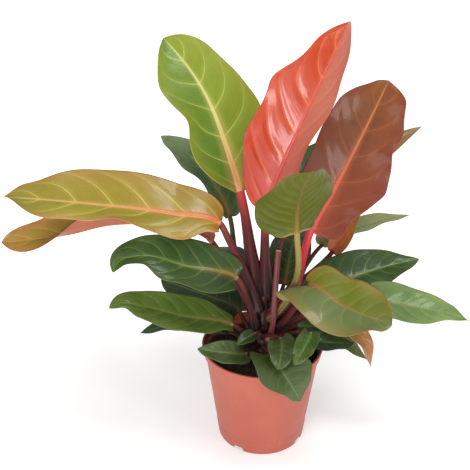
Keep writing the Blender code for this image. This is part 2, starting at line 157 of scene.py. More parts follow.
class Value:
    """A socket of a finish. Arithmetic on it adds Math nodes to the finish."""

    def __init__(self, finish, socket):
        self.finish = finish
        self.socket = socket

    def __add__(self, other):
        return self.finish.math("ADD", self, other)

    def __sub__(self, other):
        return self.finish.math("SUBTRACT", self, other)

    def __rsub__(self, other):
        return self.finish.math("SUBTRACT", other, self)

    def __mul__(self, other):
        return self.finish.math("MULTIPLY", self, other)

    def __truediv__(self, other):
        return self.finish.math("DIVIDE", self, other)

    def __rtruediv__(self, other):
        return self.finish.math("DIVIDE", other, self)

    def __pow__(self, other):
        return self.finish.math("POWER", self, other)

    def __abs__(self):
        return self.finish.math("ABSOLUTE", self)

    __radd__ = __add__
    __rmul__ = __mul__


class Finish:
    """A material under construction: its nodes all come from node()."""

    def __init__(self, name):
        self.material = bpy.data.materials.new(name)
        self.material.use_nodes = True
        self.tree = self.material.node_tree
        self.shader = self.tree.nodes["Principled BSDF"]

    def fill(self, made, sockets):
        """Gives a node's sockets their values; a Value is linked, and a colour is made opaque."""
        for key, value in sockets.items():
            if isinstance(value, Value):
                self.tree.links.new(value.socket, made.inputs[key])
            elif isinstance(value, tuple) and len(value) == 3 and made.inputs[key].type == "RGBA":
                made.inputs[key].default_value = (*value, 1)
            else:
                made.inputs[key].default_value = value

    def node(self, kind, settings=None, sockets=None, output=0):
        """A node of this kind. Its settings come first, then its sockets' values or links."""
        made = self.tree.nodes.new(kind)
        for key, value in (settings or {}).items():
            if key == "stops":
                elements = made.color_ramp.elements
                while len(elements) < len(value):
                    elements.new(0.5)
                for element, (place, tint) in zip(elements, value):
                    element.position = place
                    element.color = (*tint, 1)
            else:
                setattr(made, key, value)
        self.fill(made, sockets or {})
        return Value(self, made.outputs[output])

    def mark(self, name):
        """One of the piece's own point attributes."""
        return self.node("ShaderNodeAttribute", {"attribute_name": name}, output=2)

    def place(self):
        """Object coordinates, in metres."""
        return self.node("ShaderNodeTexCoord", output=3)

    def parts(self, vector):
        """The x, y and z of a vector."""
        made = self.node("ShaderNodeSeparateXYZ", sockets={0: vector}).socket.node
        return [Value(self, socket) for socket in made.outputs]

    def stretched(self, x, y, z):
        return self.node("ShaderNodeCombineXYZ", sockets={0: x, 1: y, 2: z})

    def noise(self, vector, scale, detail=3, roughness=0.5):
        return self.node(
            "ShaderNodeTexNoise",
            sockets={"Vector": vector, "Scale": scale, "Detail": detail, "Roughness": roughness},
        )

    def rise(self, value, low, high):
        """0 below low, 1 above high, and a smooth step between them."""
        return self.node(
            "ShaderNodeMapRange",
            {"interpolation_type": "SMOOTHSTEP"},
            {"Value": value, "From Min": low, "From Max": high},
        )

    def math(self, operation, *values):
        return self.node("ShaderNodeMath", {"operation": operation}, dict(enumerate(values)))

    def mix(self, share, first, second):
        return self.node("ShaderNodeMix", {"data_type": "RGBA"}, {0: share, 6: first, 7: second}, 2)

    def ramp(self, value, stops):
        return self.node("ShaderNodeValToRGB", {"stops": stops}, {0: value})

    def bump(self, height, strength, distance):
        return self.node(
            "ShaderNodeBump", sockets={"Height": height, "Strength": strength, "Distance": distance}
        )


def leaf_skin(name, look):
    """A leaf's finish, from its blade, veins and margin down to the foot of its stalk.

    along runs 0 to 1 up the blade, across -1 to 1 over it, reach and inset are millimetres from
    the midrib and from the margin. A vein through a point leaves the midrib at
    along - lean * |across| - sweep * |across|^3.
    """
    finish = Finish(name)
    along = finish.mark("along")
    across = finish.mark("across")
    aside = abs(across)
    place = finish.place()
    cloud = finish.noise(place, 26, 3)
    fleck = finish.noise(place, 240, 4, 0.6)

    blade = finish.ramp(
        along + 0.30 * (cloud - 0.5),
        [(0.05, look["base"]), (0.5, look["middle"]), (0.95, look["tip"])],
    )
    drift = finish.noise(place, 60, 4, 0.6)
    blade = finish.mix(finish.rise(drift, 0.42, 0.72) * look["patches"], blade, look["patch"])
    # The right half's second tone is partly the leaf's own colour and partly painted light: the two
    # halves are painted as lit differently.
    blade = finish.mix(finish.rise(across, -0.06, 0.10) * look["right_share"], blade, look["right"])
    rim = finish.rise(aside + 0.25 * (cloud - 0.5), 0.50, 1.0)
    blade = finish.mix(rim * look["margin_share"], blade, look["margin"])

    order = (along - look["lean"] * aside - look["sweep"] * aside**3) * look["veins"]
    apart = abs(finish.math("FRACT", order + 0.5) - 0.5)
    fine = finish.math("SINE", order * (2 * math.pi * FINE_VEINS) + cloud * 5)
    faint = finish.math("SINE", order * (2 * math.pi * FAINT_VEINS) + cloud * 9)
    weave = fine * 0.35 + faint * 0.3 + fleck - 0.5
    blade = finish.mix(finish.rise(weave, -0.2, 0.9) * look["fine_share"], blade, look["vein"])
    slim = look["vein_width"] * (1.15 - aside)
    lateral = 1 - finish.rise(apart, slim * 0.25, slim)
    halo = 1 - finish.rise(apart, 0.0, 0.22)
    blade = finish.mix(halo * look["halo"], blade, look["vein"])
    inner = finish.rise(1 - aside, 0.03, 0.4)
    blade = finish.mix(lateral * look["vein_share"] * inner, blade, look["vein"])

    reach = finish.mark("reach")
    rib_width = finish.mark("rib")
    rib = 1 - finish.rise(reach / rib_width, 0.55, 1.25)
    rib_tint = finish.ramp(
        along, [(0.0, look["rib_low"]), (0.45, look["rib_mid"]), (1.0, look["rib_top"])]
    )
    glow = 1 - finish.rise(reach / rib_width, 1.0, 4.0)
    blade = finish.mix(glow * 0.25, blade, rib_tint)

    inset = finish.mark("inset")
    line = 1 - finish.rise(inset, 0.2, 1.0)

    under = finish.mix(look["under_share"], blade, look["under"])
    top = finish.rise(finish.mark("face"), 0.35, 0.65)
    blade = finish.mix(top, under, blade)
    blade = finish.mix(rib * look["rib_share"], blade, rib_tint)
    blade = finish.mix(line * look["edge_share"], blade, look["edge"])

    climb = finish.mark("climb")
    ring = finish.stretched(finish.mark("ring_x"), finish.mark("ring_y"), climb * 0.6)
    streak = finish.noise(ring, 2.6, 4, 0.65)
    close = finish.stretched(finish.mark("ring_x") * 8, finish.mark("ring_y") * 8, climb * 16)
    speck = finish.noise(close, 3, 2)
    # The dark foot and the darker middle of the stalk are partly the stalk's own maroon and partly
    # painted shade where the crown's leaves crowd round it.
    stalk = finish.ramp(
        climb + 0.25 * (cloud - 0.5),
        [(0.12, look["foot"]), (0.68, look["stalk"]), (1.0, look["neck"])],
    )
    stalk = finish.mix(finish.rise(streak, 0.50, 0.66) * 0.55, stalk, look["streak"])
    stalk = finish.mix(finish.rise(streak, 0.48, 0.30) * 0.6, stalk, look["shadow"])
    stalk = finish.mix(finish.rise(speck, 0.62, 0.75) * 0.35, stalk, look["streak"])
    bladed = finish.rise(finish.mark("open"), 0.0, 0.35)
    skin = finish.mix(bladed, stalk, blade)

    relief = weave * 0.5 + lateral * -0.8 + fleck * 0.6
    finish.fill(
        finish.shader,
        {
            "Base Color": skin,
            "Roughness": look["gloss"] + 0.16 * fleck + 0.10 * (1 - top) + 0.16 * (1 - bladed),
            "IOR": 1.42,
            "Coat Roughness": 0.12,
            "Coat Weight": look["coat"] * bladed,
            "Normal": finish.bump(relief, 0.35, 0.0005),
        },
    )
    return finish.material


def under_gloss(tint):
    """A tint less the white light that the skin's gloss will add to it."""
    return tuple(max(GLOSS_SHARE * c - GLOSS_LIGHT, DARKEST) for c in tint)


def look(**given):
    """A leaf skin's colours and shares. What isn't given is a plain green leaf's."""
    values = {
        "base": (58, 92, 38), "middle": (66, 104, 42), "tip": (74, 112, 50), "patch": (44, 78, 36),
        "right": (88, 120, 70), "margin": (84, 110, 48), "vein": (112, 142, 72), "edge": (150, 150, 80),
        "rib_low": (150, 110, 70), "rib_mid": (128, 140, 76), "rib_top": (110, 140, 70),
        # foot and stalk: the stalk's own maroon, darkened further as painted shade of the crowded crown.
        "under": (104, 128, 84), "foot": (40, 14, 20), "stalk": (86, 27, 37), "neck": (110, 62, 48),
        "streak": (135, 58, 62), "shadow": (40, 14, 20),
    }
    shares = {
        "patches": 0.6, "right_share": 0.0, "margin_share": 0.35, "fine_share": 0.08, "halo": 0.10,
        "vein_share": 0.50, "vein_width": 0.05, "rib_share": 0.9, "edge_share": 0.6,
        "under_share": 0.75, "veins": 7, "lean": 0.14, "sweep": 0.14, "gloss": 0.36, "coat": 0.18,
    }
    for key, value in given.items():
        (values if key in values else shares)[key] = value
    return {**{key: under_gloss(colour(*value)) for key, value in values.items()}, **shares}


LOOKS = {
    "lime": look(
        base=(81, 113, 22), middle=(100, 129, 25), tip=(117, 141, 34), patch=(81, 117, 20),
        right=(163, 163, 48), right_share=0.35, margin=(145, 146, 43), margin_share=0.5,
        vein=(186, 198, 100), edge=(222, 190, 120), edge_share=0.8, rib_low=(238, 160, 112),
        rib_mid=(222, 206, 128), rib_top=(198, 206, 118), under=(150, 168, 88), foot=(38, 11, 18),
        stalk=(98, 22, 37), neck=(196, 70, 66), veins=6, gloss=0.38, coat=0.12,
    ),
    "orange": look(
        base=(199, 57, 30), middle=(205, 73, 32), tip=(196, 77, 35), patch=(192, 55, 28),
        # The pale pink right is painted light here: the right half is painted as the lit half of the
        # fold, over the orange's own colour.
        right=(218, 146, 132), right_share=0.75, margin=(198, 73, 44), margin_share=0.3,
        vein=(236, 140, 86), halo=0.12, rib_low=(218, 66, 66), rib_mid=(228, 96, 82),
        rib_top=(232, 128, 88), edge=(224, 150, 140), under=(196, 100, 84), foot=(39, 10, 18),
        stalk=(94, 21, 37), neck=(200, 60, 58), gloss=0.24, coat=0.4,
    ),
    "bronze": look(
        base=(130, 62, 22), middle=(122, 66, 24), tip=(136, 82, 30), patch=(104, 58, 20),
        right=(130, 60, 26), right_share=0.3, margin=(122, 52, 26), margin_share=0.5,
        vein=(164, 94, 50), rib_low=(214, 84, 72), rib_mid=(214, 112, 78), rib_top=(196, 140, 84),
        edge=(190, 84, 72), edge_share=0.8, under=(168, 112, 78), foot=(80, 24, 32),
        stalk=(206, 52, 62), neck=(222, 72, 80), streak=(232, 110, 116), shadow=(150, 30, 44), veins=6,
        gloss=0.38, coat=0.15, vein_share=0.4,
    ),
    "tan": look(
        base=(206, 116, 56), middle=(160, 130, 84), tip=(164, 140, 96), patch=(186, 120, 66),
        vein=(196, 160, 110), rib_low=(196, 92, 66), rib_mid=(180, 140, 96), rib_top=(180, 150, 104),
        edge=(206, 150, 110), under=(176, 130, 90), foot=(39, 11, 20), stalk=(91, 24, 40),
        neck=(120, 44, 46),
    ),
    "dusk": look(
        base=(60, 93, 53), middle=(83, 109, 72), tip=(141, 152, 112), patch=(63, 95, 57),
        margin=(151, 156, 114), vein=(128, 146, 108), edge=(168, 172, 140), under=(120, 136, 112),
        foot=(42, 30, 25), stalk=(76, 59, 48), neck=(86, 84, 56), streak=(120, 106, 90), veins=8,
    ),
    "grey": look(
        base=(133, 151, 94), middle=(163, 173, 116), tip=(186, 189, 130), patch=(144, 160, 101),
        margin=(186, 189, 130), vein=(150, 160, 128), edge=(160, 160, 124), under=(130, 146, 116),
        veins=8,
    ),
    "olive": look(
        base=(68, 74, 24), middle=(63, 70, 22), tip=(76, 76, 33), patch=(96, 87, 30),
        margin=(73, 70, 33), vein=(115, 115, 40), edge=(130, 128, 60), under=(101, 107, 34),
        under_share=0.65, rib_low=(142, 120, 58), rib_mid=(120, 98, 50), rib_top=(112, 104, 48),
        rib_share=1.0, foot=(96, 72, 48), stalk=(142, 126, 68), neck=(164, 146, 82),
        streak=(180, 160, 110), shadow=(104, 84, 46), veins=9, fine_share=0.3, vein_share=0.35,
        vein_width=0.12, halo=0.3,
    ),
    "gold": look(
        base=(150, 125, 40), middle=(159, 143, 51), tip=(152, 148, 64), patch=(140, 133, 44),
        right=(155, 126, 58), right_share=0.35, margin=(171, 125, 66), margin_share=0.55,
        vein=(222, 204, 106), vein_width=0.042, halo=0.14, edge=(222, 158, 118),
        edge_share=0.85, rib_low=(228, 128, 92), rib_mid=(230, 166, 108), rib_top=(222, 196, 118),
        under=(168, 150, 92), foot=(40, 13, 21), stalk=(94, 31, 41), neck=(130, 74, 58), veins=6,
        gloss=0.26,
    ),
    "coral": look(
        base=(141, 69, 43), middle=(162, 119, 56), tip=(173, 135, 65), patch=(156, 141, 59),
        patches=0.8, margin=(182, 119, 74), margin_share=0.8, vein=(212, 176, 88), edge=(214, 126, 96),
        edge_share=0.8, rib_low=(200, 90, 72), rib_mid=(208, 130, 84), rib_top=(208, 160, 90),
        under=(185, 97, 79), under_share=0.85, foot=(44, 12, 20), stalk=(112, 27, 36),
        neck=(160, 56, 46),
    ),
    "green": look(
        base=(53, 73, 17), middle=(58, 83, 19), tip=(67, 90, 22), patch=(41, 64, 16),
        margin=(76, 90, 22), rib_low=(150, 110, 66), rib_mid=(112, 130, 62), margin_share=0.25,
    ),
    "low_green": look(
        base=(72, 98, 38), middle=(92, 112, 50), tip=(99, 117, 54), patch=(65, 91, 35),
        margin=(108, 119, 54), rib_low=(150, 118, 72), rib_mid=(120, 134, 70), margin_share=0.3,
    ),
    # A darker copy of the green for leaves low and behind in the crown: partly their own deep green,
    # partly painted shade.
    "deep": look(
        base=(36, 59, 29), middle=(46, 72, 35), tip=(59, 87, 45), patch=(32, 57, 30),
        margin=(63, 87, 46), vein=(84, 112, 68), edge=(110, 130, 84), rib_low=(100, 84, 60),
        rib_mid=(88, 112, 70), under=(80, 104, 72),
    ),
    "pale_green": look(
        base=(88, 116, 60), middle=(108, 136, 76), tip=(132, 154, 88), patch=(88, 120, 64),
        margin=(140, 158, 92), vein=(150, 168, 102), edge=(176, 176, 110), under=(120, 144, 92),
    ),
    "moss": look(
        base=(116, 122, 44), middle=(108, 120, 44), tip=(112, 118, 50), patch=(96, 112, 42),
        right=(108, 124, 78), right_share=0.85, margin=(160, 128, 66), margin_share=0.45,
        vein=(142, 144, 70), edge=(190, 140, 84), edge_share=0.8, rib_low=(166, 114, 66),
        rib_mid=(150, 124, 66), rib_top=(160, 130, 70), under=(126, 130, 84), foot=(47, 18, 21),
        stalk=(99, 37, 41), neck=(150, 92, 60), veins=6, rib_share=0.75, gloss=0.34,
    ),
    "rust": look(
        base=(104, 104, 56), middle=(176, 122, 66), tip=(186, 120, 70), patch=(196, 140, 84),
        margin=(196, 110, 74), vein=(206, 156, 96), edge=(214, 140, 110), rib_low=(150, 80, 56),
        rib_mid=(190, 110, 70), under=(190, 130, 88),
    ),
    "fresh": look(
        base=(69, 91, 40), middle=(78, 100, 44), tip=(103, 111, 62), patch=(66, 87, 44),
        margin=(109, 114, 66), vein=(108, 146, 74), edge=(130, 170, 90), rib_low=(104, 138, 72),
        rib_mid=(104, 144, 72), under=(96, 140, 70),
    ),
    "heart": look(
        base=(66, 84, 44), middle=(76, 92, 52), tip=(84, 102, 60), patch=(60, 80, 44),
        margin=(92, 104, 62), vein=(108, 124, 76), edge=(140, 142, 96), rib_low=(110, 112, 68),
        rib_mid=(110, 122, 72), under=(100, 112, 76), gloss=0.38,
    ),
}


def pot_plastic():
    """Moulded plastic: even colour with faint flow bands, scuffs and a fine satin grain."""
    finish = Finish("pot_plastic_skin")
    place = finish.place()
    cloud = finish.noise(place, 14, 3)
    drawn_out = finish.node("ShaderNodeMapping", sockets={0: place, 3: (1, 1, 0.25)})
    scuff = finish.noise(drawn_out, 90, 5, 0.7)
    grain = finish.noise(place, 1400, 2)
    skin = finish.mix(finish.rise(cloud, 0.3, 0.7), colour(172, 84, 66), colour(179, 91, 72))
    skin = finish.mix(finish.rise(scuff, 0.58, 0.78) * 0.35, skin, colour(192, 119, 101))
    finish.fill(
        finish.shader,
        {
            "Base Color": skin,
            "Roughness": 0.38 + 0.14 * scuff,
            "IOR": 1.46,
            "Normal": finish.bump(grain + scuff * 0.6, 0.12, 0.0003),
        },
    )
    return finish.material


def peat():
    """Dark fibrous peat: near black lumps with brown threads and a few pale grains."""
    finish = Finish("peat_skin")
    place = finish.place()
    lumps = finish.noise(place, 160, 6, 0.7)
    drawn_out = finish.node("ShaderNodeMapping", sockets={0: place, 3: (1, 5, 2)})
    threads = finish.noise(drawn_out, 120, 4)
    grains = finish.noise(place, 900, 2)
    skin = finish.ramp(
        lumps, [(0.3, colour(22, 16, 13)), (0.55, colour(48, 34, 26)), (0.8, colour(84, 62, 46))]
    )
    skin = finish.mix(finish.rise(threads, 0.6, 0.72) * 0.6, skin, colour(112, 84, 58))
    skin = finish.mix(finish.rise(grains, 0.72, 0.78) * 0.6, skin, colour(168, 158, 140))
    finish.fill(
        finish.shader,
        {"Base Color": skin, "Roughness": 0.95, "Normal": finish.bump(lumps + grains * 0.3, 0.8, 0.002)},
    )
    return finish.material


def bark(name, low, high, pale):
    """Stem or stalk skin: two tones up its length, with long pale and dark fibres."""
    finish = Finish(name)
    climb = finish.mark("climb")
    ring = finish.stretched(finish.mark("ring_x"), finish.mark("ring_y"), climb * 0.8)
    fibre = finish.noise(ring, 3.2, 4, 0.65)
    blotch = finish.noise(finish.place(), 110, 4, 0.6)
    skin = finish.ramp(climb + 0.2 * (blotch - 0.5), [(0.0, low), (0.16, high), (1.0, high)])
    skin = finish.mix(finish.rise(fibre, 0.5, 0.66) * 0.5, skin, pale)
    skin = finish.mix(finish.rise(fibre, 0.46, 0.3) * 0.6, skin, colour(46, 20, 24))
    skin = finish.mix(finish.mark("wound"), skin, colour(196, 172, 132))
    finish.fill(
        finish.shader,
        {
            "Base Color": skin,
            "Roughness": 0.38 + 0.25 * blotch,
            "Normal": finish.bump(fibre + blotch * 0.5, 0.4, 0.0006),
        },
    )
    return finish.material


# ---------------------------------------------------------------- surfaces


def add_piece(name, points, faces, material, marks=None):
    """A mesh object from whole arrays: its points, its faces and its point attributes."""
    mesh = bpy.data.meshes.new(name)
    mesh.from_pydata(points.reshape(-1, 3).tolist(), [], faces)
    for key, values in (marks or {}).items():
        mesh.attributes.new(key, "FLOAT", "POINT").data.foreach_set("value", np.ravel(values))
    mesh.materials.append(material)
    mesh.shade_smooth()
    made = bpy.data.objects.new(name, mesh)
    bpy.context.scene.collection.objects.link(made)
    return made


def belt_faces(rows, around, first=0, flip=False):
    """Quads between neighbouring rings, each ring closed on itself, facing outwards."""
    row, step = np.meshgrid(np.arange(rows - 1), np.arange(around), indexing="ij")
    here = first + row * around + step
    beside = first + row * around + (step + 1) % around
    corners = (here, beside, beside + around, here + around)
    if not flip:
        corners = corners[::-1]
    return np.stack(corners, -1).reshape(-1, 4).tolist()


def pole_faces(pole, ring_start, around, flip=False):
    """A fan of triangles from a pole to a ring."""
    step = np.arange(around)
    here, beside = ring_start + step, ring_start + (step + 1) % around
    corners = (np.full(around, pole), beside, here) if flip else (np.full(around, pole), here, beside)
    return np.stack(corners, -1).tolist()


def closed_skin(rings):
    """The rings' points with a pole at each end, and the faces that close the whole skin."""
    rows, around = rings.shape[:2]
    points = np.concatenate((rings.reshape(-1, 3), [rings[0].mean(0)], [rings[-1].mean(0)]))
    faces = belt_faces(rows, around)
    faces += pole_faces(rows * around, 0, around)
    faces += pole_faces(rows * around + 1, (rows - 1) * around, around, flip=True)
    return points, faces


def with_poles(values):
    """A grid of marks, followed by the two poles' values."""
    return np.concatenate((np.ravel(values), [values[0].mean()], [values[-1].mean()]))


def smooth_curve(points, where):
    """Points and directions on a smooth curve through the given points.

    where is the distance along the straight lines between the points. Each stretch is a cubic
    whose end slopes are the slopes of the points' distances on both sides.
    """
    points = np.asarray(points, float)
    knots = np.concatenate(([0], np.cumsum(np.linalg.norm(np.diff(points, axis=0), axis=1))))
    slopes = np.gradient(points, knots, axis=0, edge_order=min(2, len(points) - 1))
    where = np.clip(where, 0, knots[-1])
    index = np.clip(np.searchsorted(knots, where, side="right") - 1, 0, len(knots) - 2)
    span = (knots[index + 1] - knots[index])[:, None]
    t = (where - knots[index])[:, None] / span
    a, b = points[index], points[index + 1]
    da, db = slopes[index] * span, slopes[index + 1] * span
    place = (2 * t**3 - 3 * t**2 + 1) * a + (t**3 - 2 * t**2 + t) * da
    place += (3 * t**2 - 2 * t**3) * b + (t**3 - t**2) * db
    slope = (6 * t**2 - 6 * t) * (a - b) + (3 * t**2 - 4 * t + 1) * da + (3 * t**2 - 2 * t) * db
    return place, slope / np.linalg.norm(slope, axis=1)[:, None]


def square_to(vector, along):
    """The part of each vector that is square to its direction, at length one."""
    vector = vector - (vector * along).sum(1)[:, None] * along
    return vector / np.linalg.norm(vector, axis=1)[:, None]


def carried_back(facing, along):
    """The last row's facing, carried back along the directions with the least turning."""
    rows = [facing]
    for direction in along[-2::-1]:
        step = rows[-1] - rows[-1].dot(direction) * direction
        rows.append(step / np.linalg.norm(step))
    return np.array(rows[::-1])


def length_of(points):
    """The length of the straight lines from point to point."""
    return np.linalg.norm(np.diff(np.array(points, float), axis=0), axis=1).sum()


def smooth_step(value, low, high):
    """0 below low, 1 above high, and 3 x^2 - 2 x^3 of the share x between them."""
    share = np.clip((value - low) / (high - low), 0, 1)
    return share * share * (3 - 2 * share)


def swells(t, bumps):
    """One plus a bell curve for each (place, height, breadth)."""
    total = np.ones_like(t)
    for place, height, breadth in bumps:
        total = total + height * np.exp(-(((t - place) / breadth) ** 2))
    return total


def leaf_piece(design, skins):
    """One leaf as a closed skin: stalk, midrib and blade are one grid of rings.

    The middle line is a smooth curve through the design's points. On the blade, t runs 0 to 1
    and s -1 to 1 across. Half the width is t^rise (1 - t)^fall, narrowed to a point at the tip
    and swollen or dented by bell curves. Each half bends up by its fold and round by its curl,
    and closing folds the left half up further, between its two shares of the length.
    Each half's base runs back past the stalk by its lobe * |s|^power * (1 - t)^fade.
    The sheet is lifted by sine waves at the margin and between the veins, and sinks at each
    vein. The midrib's round section stands out of it, mostly below, and thins as (1 - t)^1.6.
    The round stalk opens into the flat sheet over the blade's first OPENING of length.
    """
    look_values = LOOKS[design["skin"]]
    points = design["stalk"] + design["blade"]
    base = length_of(design["stalk"] + design["blade"][:1])
    total = length_of(points)
    width = design["width"]
    around = 4 * round(max(width / CELL, 26) / 2)
    blade_rows = round(max((total - base) / CELL, 40))
    stalk_rows = round(max(base / (LONG_STALK_CELLS * CELL), 12))

    even = np.linspace(0, 1, blade_rows + 1)
    t = np.concatenate((np.zeros(stalk_rows), 0.3 * even + 0.7 * (1 - np.cos(math.pi * even)) / 2))
    share = np.concatenate((np.linspace(0, 1, stalk_rows, endpoint=False), np.ones(blade_rows + 1)))
    centre, along = smooth_curve(points, base * share + (total - base) * t)
    first, last = np.array(design["facing"]), np.array(design["tip_facing"])
    up = square_to(first + t[:, None] * (last - first), along)
    up[: stalk_rows + 1] = carried_back(up[stalk_rows], along[: stalk_rows + 1])
    across = np.cross(along, up)

    rise, fall, u = design["rise"], design["fall"], 1 - t
    peak = rise / (rise + fall)
    spread = (t / peak) ** rise * (u / (1 - peak)) ** fall
    spread = spread * (u / (u + design["point"])) ** 0.6
    swell = 1 + design["foot_swell"] * (1 - share) ** 2
    rib = design["radius"] * swell * (RIB_TIP + (1 - RIB_TIP) * u**1.6) * (1 - t**12) + EDGE_HALF
    opened = smooth_step(t, 0, OPENING)[:, None]

    turn = (np.arange(around) * 2 * math.pi / around)[None, :]
    even_side = np.where(turn <= math.pi, 1 - 2 * turn / math.pi, 2 * turn / math.pi - 3)
    near_rib = np.sign(even_side) * np.abs(even_side) ** 1.3
    s = (1 - opened) * np.cos(turn) + opened * near_rib
    face = np.sign(np.round(np.sin(turn), 6))

    def halves(left, right):
        """The left value on the left half and the right value on the right half."""
        return np.where(s > 0, right, left)

    margins = (swells(t, design[key]) for key in ("left_margin", "right_margin"))
    half_width = halves(*(np.hypot(width / 2 * spread * margin, rib)[:, None] for margin in margins))
    aside = np.abs(s)
    reach = aside * half_width

    roundness = np.sqrt(np.clip(1 - s**2, 0, 1))
    stand = np.where(face > 0, 1 - 0.75 * opened, 1 - 0.1 * opened)
    rib_height = stand * np.sqrt(np.clip(rib[:, None] ** 2 - reach**2, 0, None))
    thickness = np.hypot(BLADE_HALF * roundness, rib_height) * (1 - t[:, None] ** 40)

    order = t[:, None] - look_values["lean"] * aside - look_values["sweep"] * aside**3
    order = order * look_values["veins"]
    calm = opened * smooth_step(aside, 0.0, 0.25) * smooth_step(1 - aside, 0.0, 0.3) * spread[:, None]
    calm = calm * smooth_step(u, 0.0, 0.15)[:, None]
    gap = np.abs((order + 0.5) % 1 - 0.5)
    sheet = design["quilt"] * calm * (smooth_step(gap, 0.0, 0.3) - 0.6)
    sheet = sheet + design["quilt"] * 0.10 * calm * np.sin(2 * math.pi * FINE_VEINS * order)
    for key, sign in (("left_wave", -1), ("right_wave", 1)):
        height, count, phase = design[key]
        ripple = height * MM * np.sin(2 * math.pi * (count * t[:, None] + phase))
        sheet = sheet + np.where(np.sign(s) == sign, ripple * aside**2 * opened, 0)

    shut, shut_from, shut_to = design["closing"]
    shut = shut * (1 - smooth_step(t, shut_from, shut_to))[:, None]
    fold = np.radians(halves(*design["fold"]) + halves(shut, 0)) * opened
    curl = np.radians(halves(*design["curl"])) * aside * spread[:, None]
    bend = fold + curl / 2
    lift = face * thickness + sheet
    out = np.sign(s) * (reach * np.cos(bend) - lift * np.sin(fold + curl) * opened)
    high = reach * np.sin(bend) + lift * (1 - opened + opened * np.cos(fold + curl))
    back = halves(*design["lobe"]) * aside ** halves(*design["lobe_power"])
    back = back * (spread * u ** design["lobe_fade"])[:, None]
    rings = centre[:, None] + out[..., None] * across[:, None] + high[..., None] * up[:, None]
    rings = rings - back[..., None] * along[:, None]

    marks = {
        "along": t[:, None],
        "across": s,
        "reach": reach / MM,
        "rib": rib[:, None] / MM,
        "inset": (half_width - reach) / MM + 3 * (1 - opened),
        "face": (face + 1) / 2,
        "open": opened,
        "climb": share[:, None],
        "ring_x": np.cos(turn),
        "ring_y": np.sin(turn),
    }
    marks = {key: with_poles(np.broadcast_to(value, s.shape)) for key, value in marks.items()}
    piece = add_piece(design["name"] + "_skin", *closed_skin(rings), skins[design["skin"]], marks)
    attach(piece, "root")
    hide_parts(design["name"])
    return piece


def crown(x, y, z):
    """A point in metres from the origin, given in millimetres from the crown."""
    return (x * MM, y * MM, CROWN_Z + z * MM)


def round_crown(turn, reach, z):
    """A point reach mm from the crown's axis in the direction turn (degrees), z mm up."""
    angle = math.radians(turn)
    return (reach * math.cos(angle), reach * math.sin(angle), z)


def over_rim(turn, out, z):
    """A point out mm beyond the rim in the direction turn (degrees), z mm above the rim."""
    return round_crown(turn, RIM_RADIUS / MM + out, (POT_HEIGHT - CROWN_Z) / MM + z)


def stem_radius(height):
    """The stem tapers evenly from the soil to its top."""
    share = min(max(height / STEM_HEIGHT, 0), 1)
    return STEM_RADIUS + (STEM_TOP_RADIUS - STEM_RADIUS) * share


def foot(turn, z, stalk_radius):
    """Where a stalk starts: against the stem, in the direction turn (degrees), z mm up."""
    return round_crown(turn, (stem_radius(z * MM) + FOOT_CLEARANCE) / MM + stalk_radius, z)


def leaf(name, slot, stalk, blade, facing, tip_facing, width, radius=3.2, skin=None, **extra):
    """One leaf's design, its points from the crown and its sizes all in millimetres.

    Margins are bell curves of (place, share of the half width, breadth), and waves are
    (height, count, phase). What takes two values is given for the left and the right half.
    """
    design = {
        "rise": 0.45, "fall": 0.7, "fold": (12, 12), "curl": (10, 10), "closing": (0, 0.5, 0.8),
        "lobe": (12, 12), "lobe_power": (2, 2), "lobe_fade": 4, "foot_swell": 0.7, "point": 0.03,
        "left_margin": (), "right_margin": (), "left_wave": (1.2, 3, 0.1),
        "right_wave": (1.2, 2.6, 0.6), "quilt": 0.5,
    }
    design.update(extra)
    design.update(name="leaf_" + name, slot="leaf_" + slot, skin=skin or slot)
    design.update(stalk=[crown(*point) for point in stalk], blade=[crown(*point) for point in blade])
    design.update(facing=facing, tip_facing=tip_facing, width=width * MM, radius=radius * MM)
    design["lobe"] = [back * MM for back in design["lobe"]]
    design["quilt"] *= MM
    return design


